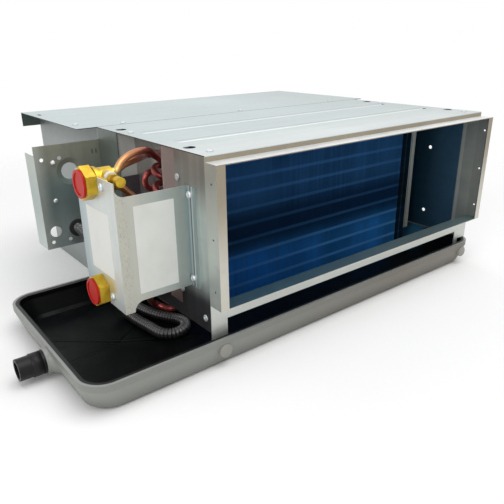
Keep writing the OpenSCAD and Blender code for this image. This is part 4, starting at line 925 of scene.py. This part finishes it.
# Branch pipes, on the same routes as the solids: the connector's height; where the pipe leaves it, in
# shares of the body's radius; the row and the tube that it ends in; and its bows, as (share of the way
# across, bow in y, bow in z), in pipe diameters
BODY_X = span("upper_connector", 0)[1]
BODY_R = 14.0
CONN_Y = 108.0
CONN_UP = 211.7
CONN_LOW = 89.7
BRANCH_START = 2.5
BRANCH_END = 3.5
LAST = ROW_TUBES - 1
HALF = ROW_TUBES // 2
UPPER_BRANCHES = [
    (CONN_UP, (-0.286, 0.571), 0, 0,
     [(0.132, 0.07, 1.07), (0.332, 0.26, 1.68), (0.57, 0.49, 1.81), (0.761, 0.52, 1.54),
      (0.887, 0.36, 0.7)]),
    (CONN_UP, (0.321, 0.25), 2, 0,
     [(0.179, -0.58, 0.61), (0.383, -0.92, 0.73), (0.639, -1.07, 0.59), (0.859, -0.46, 0.21)]),
    (CONN_UP, (-0.071, -0.607), 0, HALF,
     [(0.085, -0.16, 0.67), (0.2, -0.05, 1.09), (0.346, 0.08, 1.56), (0.521, 0.12, 1.13),
      (0.69, 0.17, 0.13), (0.845, 0.15, -0.67)]),
]
LOWER_BRANCHES = [
    (CONN_LOW, (0, -0.5), 0, LAST,
     [(0.169, -0.17, 1.02), (0.338, 0.03, 1.62), (0.521, 1.43, 0.77), (0.662, 2.6, -0.52),
      (0.761, 3.15, -1.02), (0.859, 2.96, -0.89), (0.93, 1.98, -0.72), (0.958, 1.01, -0.51)]),
    (CONN_LOW, (0.464, 0.143), 1, LAST - 1,
     [(0.169, -0.25, 1.25), (0.352, 0.12, 2.4), (0.563, 1.47, 3.09), (0.732, 2.29, 3.09),
      (0.873, 1.98, 2.51), (0.901, 1.72, 0.97), (0.93, 0.83, -0.07)]),
    (CONN_LOW, (-0.357, 0.357), 1, HALF - 1,
     [(0.169, -0.5, -0.11), (0.338, -0.61, -0.01), (0.577, 0.77, 0.74), (0.803, 0.98, 0.54)]),
]


def branch(height, leave, row, k, bows):
    """Straight out of the connector, through the bowed points, straight into the tube's end."""
    start = np.array([BODY_X, CONN_Y + leave[0] * BODY_R, height + leave[1] * BODY_R])
    end = np.array([STUB_X, ROW_Y[row], tube_z(row, k)])
    out = start + np.arange(3)[:, None] * [BRANCH_START, 0, 0]
    into = end - np.arange(3)[::-1, None] * [BRANCH_END, 0, 0]
    bows = np.array(bows)
    through = out[2] + bows[:, :1] * (into[0] - out[2]) + 2 * PIPE_R * bows * [0, 1, 1]
    return np.concatenate([out, through, into])


BEND_STEPS = 16
PIPE_STEP = 1.0
SOCKET_SWELL = 0.5
SOCKET_L = 3.5


def pipe(route):
    """Round pipe whose ends swell into sockets: r + swell exp(-(distance from the end / length)^4)."""
    path, run = evenly(spline(branch(*route), BEND_STEPS), PIPE_STEP)
    from_end = np.minimum(run, run[-1] - run)
    radius = PIPE_R + SOCKET_SWELL * np.exp(-((from_end / SOCKET_L) ** 4))
    return round_skin(at(rings(path, radius, PIPE_SIDES)))


for name, routes, solid in (
    ("upper_pipes", UPPER_BRANCHES, "upper_branch_pipes"),
    ("lower_pipes", LOWER_BRANCHES, "lower_branch_pipes"),
):
    made = piece(name, join([pipe(r) for r in routes]), red_copper)
    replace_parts(made, solid)

# Screws
ROOF_Z = span("top_panel", 2)[1]
CASING_W = span("top_panel", 0)[1]
SCREW_R = 4.0
SCREW_H = 1.6
SHANK_R = 1.6
SHANK_L = 6.0
BRACKET_X = span("connection_bracket", 0)[0]
BRACKET_T = 1.2
BRACKET_HEAD_R = 4.2
BRACKET_HEAD_H = 3.0
BRACKET_SHANK_R = 2.0
EAR_SHANK_L = 7.0
STRIP_SHANK_L = 5.2
# Distance of the connectors' ear screws from their middle, and the strip's screws as (y, z)
EAR = 26.0
STRIP_SCREWS = ((50, 98.7), (50, 195.7))
ROOF_SCREWS = ((13, 205), (CASING_W - 13, 205), (19, 38.5), (CASING_W - 19, 38.5))
COVER_SCREWS = ((44, 291), (CASING_W / 2 - 4.5, 291), (CASING_W - 53, 291), (-13.4, 321))
SIDE_SCREW = (75, 210)
LOW_SIDE_SCREWS = ((31, 55.4), (78, 75.8))
SHANK_SIDES = 12


def screw(place, axis, facing, head, shank):
    """A cross-recess head and its shank, a turned rod the other way; each as (radius, length)."""
    r, end = shank
    rod = turned([(r, 0.0), (r, end - 1.0), (r * 0.4, end)], place, axis, SHANK_SIDES, -facing)
    return join([screw_head(place, axis, facing, *head), rod])


def sheet_screw(place, axis, facing):
    return screw(place, axis, facing, (SCREW_R, SCREW_H), (SHANK_R, SHANK_L))


def bracket_screw(place, shank_l):
    head, shank = (BRACKET_HEAD_R, BRACKET_HEAD_H), (BRACKET_SHANK_R, shank_l)
    return screw(place, "x", -1, head, shank)


heads = [sheet_screw((x, y, ROOF_Z), "z", 1) for x, y in ROOF_SCREWS + COVER_SCREWS]
heads.append(sheet_screw((0, *SIDE_SCREW), "x", -1))
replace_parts(piece("casing_screw_heads", join(heads), screw_zinc), "casing_screws")

heads = [
    bracket_screw((BRACKET_X, CONN_Y + s * EAR, z), EAR_SHANK_L)
    for z in (CONN_LOW, CONN_UP)
    for s in (-1, 1)
]
heads += [bracket_screw((-BRACKET_T, *strip), STRIP_SHANK_L) for strip in STRIP_SCREWS]
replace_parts(piece("bracket_screw_heads", join(heads), screw_zinc), "bracket_screws")

heads = [sheet_screw((0, *low), "x", -1) for low in LOW_SIDE_SCREWS]
piece("side_screw_heads", join(heads), screw_zinc)

# Earth stud with its nut, and a rivet, on the connection plate
STUD = [(3.4, 0.0), (3.4, 0.7), (2.4, 0.8), (2.4, 2.4), (1.5, 2.5), (1.5, 5.4), (1.0, 6.0)]
RIVET = [(3.2, 0.0), (3.0, 0.7), (2.2, 1.3), (0.9, 1.6)]
STUD_PLACE = (-64.8, DECK_Y, 201.5)
RIVET_PLACE = (-68.2, DECK_Y, 151.0)
SMALL_SIDES = 24
stud, rivet = (
    turned(profile, place, "y", SMALL_SIDES, -1)
    for profile, place in ((STUD, STUD_PLACE), (RIVET, RIVET_PLACE))
)
piece("earth_stud", stud, solder)
piece("plate_rivet", rivet, screw_zinc)

# Brazed rings where the tube ends leave the near tube sheet
RING = [(4.05, 0.1), (5.3, 0.3), (5.5, 0.9), (4.9, 1.6), (4.05, 1.8)]
SHEET_X = span("tube_sheet_left", 0)[1] - SHEET_T
tubes = [(row, k) for row in range(3) for k in range(ROW_TUBES - (row > 0))]
places = [(SHEET_X, ROW_Y[row], tube_z(row, k)) for row, k in tubes]
stub_rings = [turned(RING, place, "x", SMALL_SIDES, -1) for place in places]
piece("brazed_rings", join(stub_rings), solder)

# Blank stickers on the bracket
STICKER_T = 0.15
STICKER_CORNER = 0.8
BRACKET_Y = 55.0
FRONT_STICKER = rounded(-65, -18, 96.7, 193.7, STICKER_CORNER)
SIDE_STICKER = rounded(74, 130, 111.7, 183.7, STICKER_CORNER)[::-1]
stickers = join([
    plate(FRONT_STICKER, BRACKET_Y, -STICKER_T, (0, 2)),
    plate(SIDE_STICKER, BRACKET_X, -STICKER_T, (1, 2)),
])
piece("blank_stickers", stickers, sticker, smooth=False)

# Sealing tape on the air vent
VENT_SEAT = (sum(span("vent_body", 0)) / 2, span("vent_body", 1)[1], sum(span("vent_body", 2)) / 2)
TAPE_BAND = [
    (5.1, -4.7), (6.8, -4.4), (7.4, -3.4), (7.2, -2.4), (7.3, -1.2), (6.9, -0.4), (5.1, -0.2),
]
piece("vent_tape", turned(TAPE_BAND, VENT_SEAT, "y"), white_tape)

# Drain neck: the pan's wall flares out to the nozzle
NOZZLE_Y = 120.0
NOZZLE_Z = 18.7
NOZZLE_R = 12.5
NOZZLE_L = 29.0
NECK_X = span("drain_nozzle", 0)[0] + NOZZLE_L
NECK_WALL = 2.2
FLARE_POWER = 2.2
FLARE_W = 44.0
FLARE_RISE = 3.2
FLARE_RUN = 15.5
FLARE_LEAN = 4.0
FLARE_DROP = 0.6
FLARE_CLEAR = 0.2
FLARE_STEPS = 16
FLARE_SIDES = 64


def neck_flare():
    """Saddle over (run, turn): a circle round the nozzle widens with a power of the run.

    On the pan's wall it is an ellipse, which leans with the wall's draft."""
    run = np.linspace(0, 1, FLARE_STEPS)[:, None]
    turn = np.linspace(0, 2 * math.pi, FLARE_SIDES, endpoint=False)[None, :]
    wide = NOZZLE_R + NECK_WALL + (FLARE_W - NOZZLE_R) * run**FLARE_POWER
    tall = NOZZLE_R + NECK_WALL + FLARE_RISE * run**FLARE_POWER
    x = NECK_X + FLARE_CLEAR + (FLARE_RUN - FLARE_LEAN * np.sin(turn)) * run
    y = NOZZLE_Y + wide * np.cos(turn)
    z = NOZZLE_Z + tall * np.sin(turn) - FLARE_DROP * run
    return round_skin(at(np.stack([x, y, z], axis=-1)))


piece("neck_flare", neck_flare(), pan_grey)
BAND = [(12.3, 0.0), (13.3, 0.3), (13.4, 6.0), (13.3, 11.6), (12.3, 12.0)]
BAND_GAP = 3.0
BAND_SIDES = 48
band = turned(BAND, (NECK_X - BAND_GAP, NOZZLE_Y, NOZZLE_Z), "x", BAND_SIDES, -1)
piece("nozzle_band", band, nozzle_black)

# Round plugs that close the hanger bosses in the pan's front wall
BOSS_PLUG = [(8.3, 0.0), (8.3, 10.2), (8.0, 10.8), (7.3, 11.2)]
BOSS_X = (9.0, CASING_W - 26.0)
BOSS_Z = 21.0
BOSS_DEPTH = 9.8
boss_y = span("drain_pan", 1)[0] + BOSS_DEPTH
plugs = [turned(BOSS_PLUG, (x, boss_y, BOSS_Z), "y", facing=-1) for x in BOSS_X]
piece("pan_plugs", join(plugs), plug_grey)

# Net of the filter
NET_PITCH = 4.0
NET_R = 0.3
NET_SIDES = 4
NET_EDGE = 5.0
NET_START = 6.0
NET_FORWARD = 0.9


def net():
    """Crossed threads, each a four-sided rod; the uprights lie one thread behind the level ones."""
    (x0, x1), (z0, z1) = span("filter_mesh", 0), span("filter_mesh", 2)
    y = sum(span("filter_mesh", 1)) / 2 - NET_FORWARD
    xs = np.arange(x0 + NET_START, x1 - NET_EDGE, NET_PITCH)
    zs = np.arange(z0 + NET_START, z1 - NET_EDGE, NET_PITCH)
    level = [np.array([(x0 + NET_EDGE, y, z), (x1 - NET_EDGE, y, z)]) for z in zs]
    behind = y - NET_R
    upright = [np.array([(x, behind, z0 + NET_EDGE), (x, behind, z1 - NET_EDGE)]) for x in xs]
    return join([round_skin(at(rings(line, NET_R, NET_SIDES))) for line in level + upright])


piece("filter_net", net(), net_black, body="filter", smooth=False)

# Floor and light
FLOOR_SIZE = 8.0
FLOOR_Z = -0.0004
# Lamps: place and size in metres, and power
LAMPS = (
    ("top_lamp", (0.5, -0.9, 3.4), 3.0, 72.0),
    ("side_lamp", (-3.0, -1.0, 1.4), 1.6, 26.0),
)
LAMP_TARGET = (0.05, -0.05, 0.12)
AMBIENT = 0.55
# The floor fades out between these distances from the middle, in metres
FADE_START, FADE_END = 0.6, 1.3


def aimed(place, target):
    """Matrix of a lamp at a place, shining at a target."""
    back = np.asarray(place) - np.asarray(target)
    back /= np.linalg.norm(back)
    beside = np.cross([0, 0, 1], back)
    beside /= np.linalg.norm(beside)
    pose = np.eye(4)
    pose[:3, :3] = np.stack([beside, np.cross(back, beside), back], axis=1)
    pose[:3, 3] = place
    return Matrix(pose.tolist())


def stage():
    """A pale floor that fades into the white surround, and broad soft lamps."""
    half = FLOOR_SIZE / 2
    corners = [(-half, -half), (half, -half), (half, half), (-half, half)]
    mesh = bpy.data.meshes.new("floor")
    mesh.from_pydata([(x, y, FLOOR_Z) for x, y in corners], [], [(0, 1, 2, 3)])
    paint = Finish("pale_floor", Roughness=0.9, Specular_IOR_Level=0.0)
    paint.colour(paint.mix(paint.noise(3.0, 2.0), (0.95, 0.95, 0.95), (0.97, 0.97, 0.97)))
    far = paint.node("ShaderNodeVectorMath", {"operation": "LENGTH"}, {0: paint.place()}, "Value")
    paint.put(paint.shader.inputs["Alpha"], far.band(FADE_END, FADE_START))
    mesh.materials.append(paint.material)
    floor = bpy.data.objects.new("floor", mesh)
    bpy.context.collection.objects.link(floor)

    world = bpy.data.worlds.new("surround")
    bpy.context.scene.world = world
    world.use_nodes = True
    surround = Nodes(world.node_tree)
    seen = surround.node("ShaderNodeLightPath", out="Is Camera Ray")
    for ray in ("Is Glossy Ray", "Is Transmission Ray"):
        seen = seen.math("MAXIMUM", seen, surround.node("ShaderNodeLightPath", out=ray))
    back = surround.tree.nodes["Background"]
    surround.put(back.inputs["Color"], WHITE)
    level = surround.node("ShaderNodeMapRange", None, {0: seen, 3: AMBIENT, 4: 1.0})
    surround.put(back.inputs["Strength"], level)

    for name, place, size, power in LAMPS:
        lamp = bpy.data.lights.new(name, "AREA")
        lamp.energy = power
        lamp.size = size
        holder = bpy.data.objects.new(name, lamp)
        holder.matrix_world = aimed(place, LAMP_TARGET)
        bpy.context.collection.objects.link(holder)
    bpy.context.scene.view_settings.view_transform = "Standard"


stage()
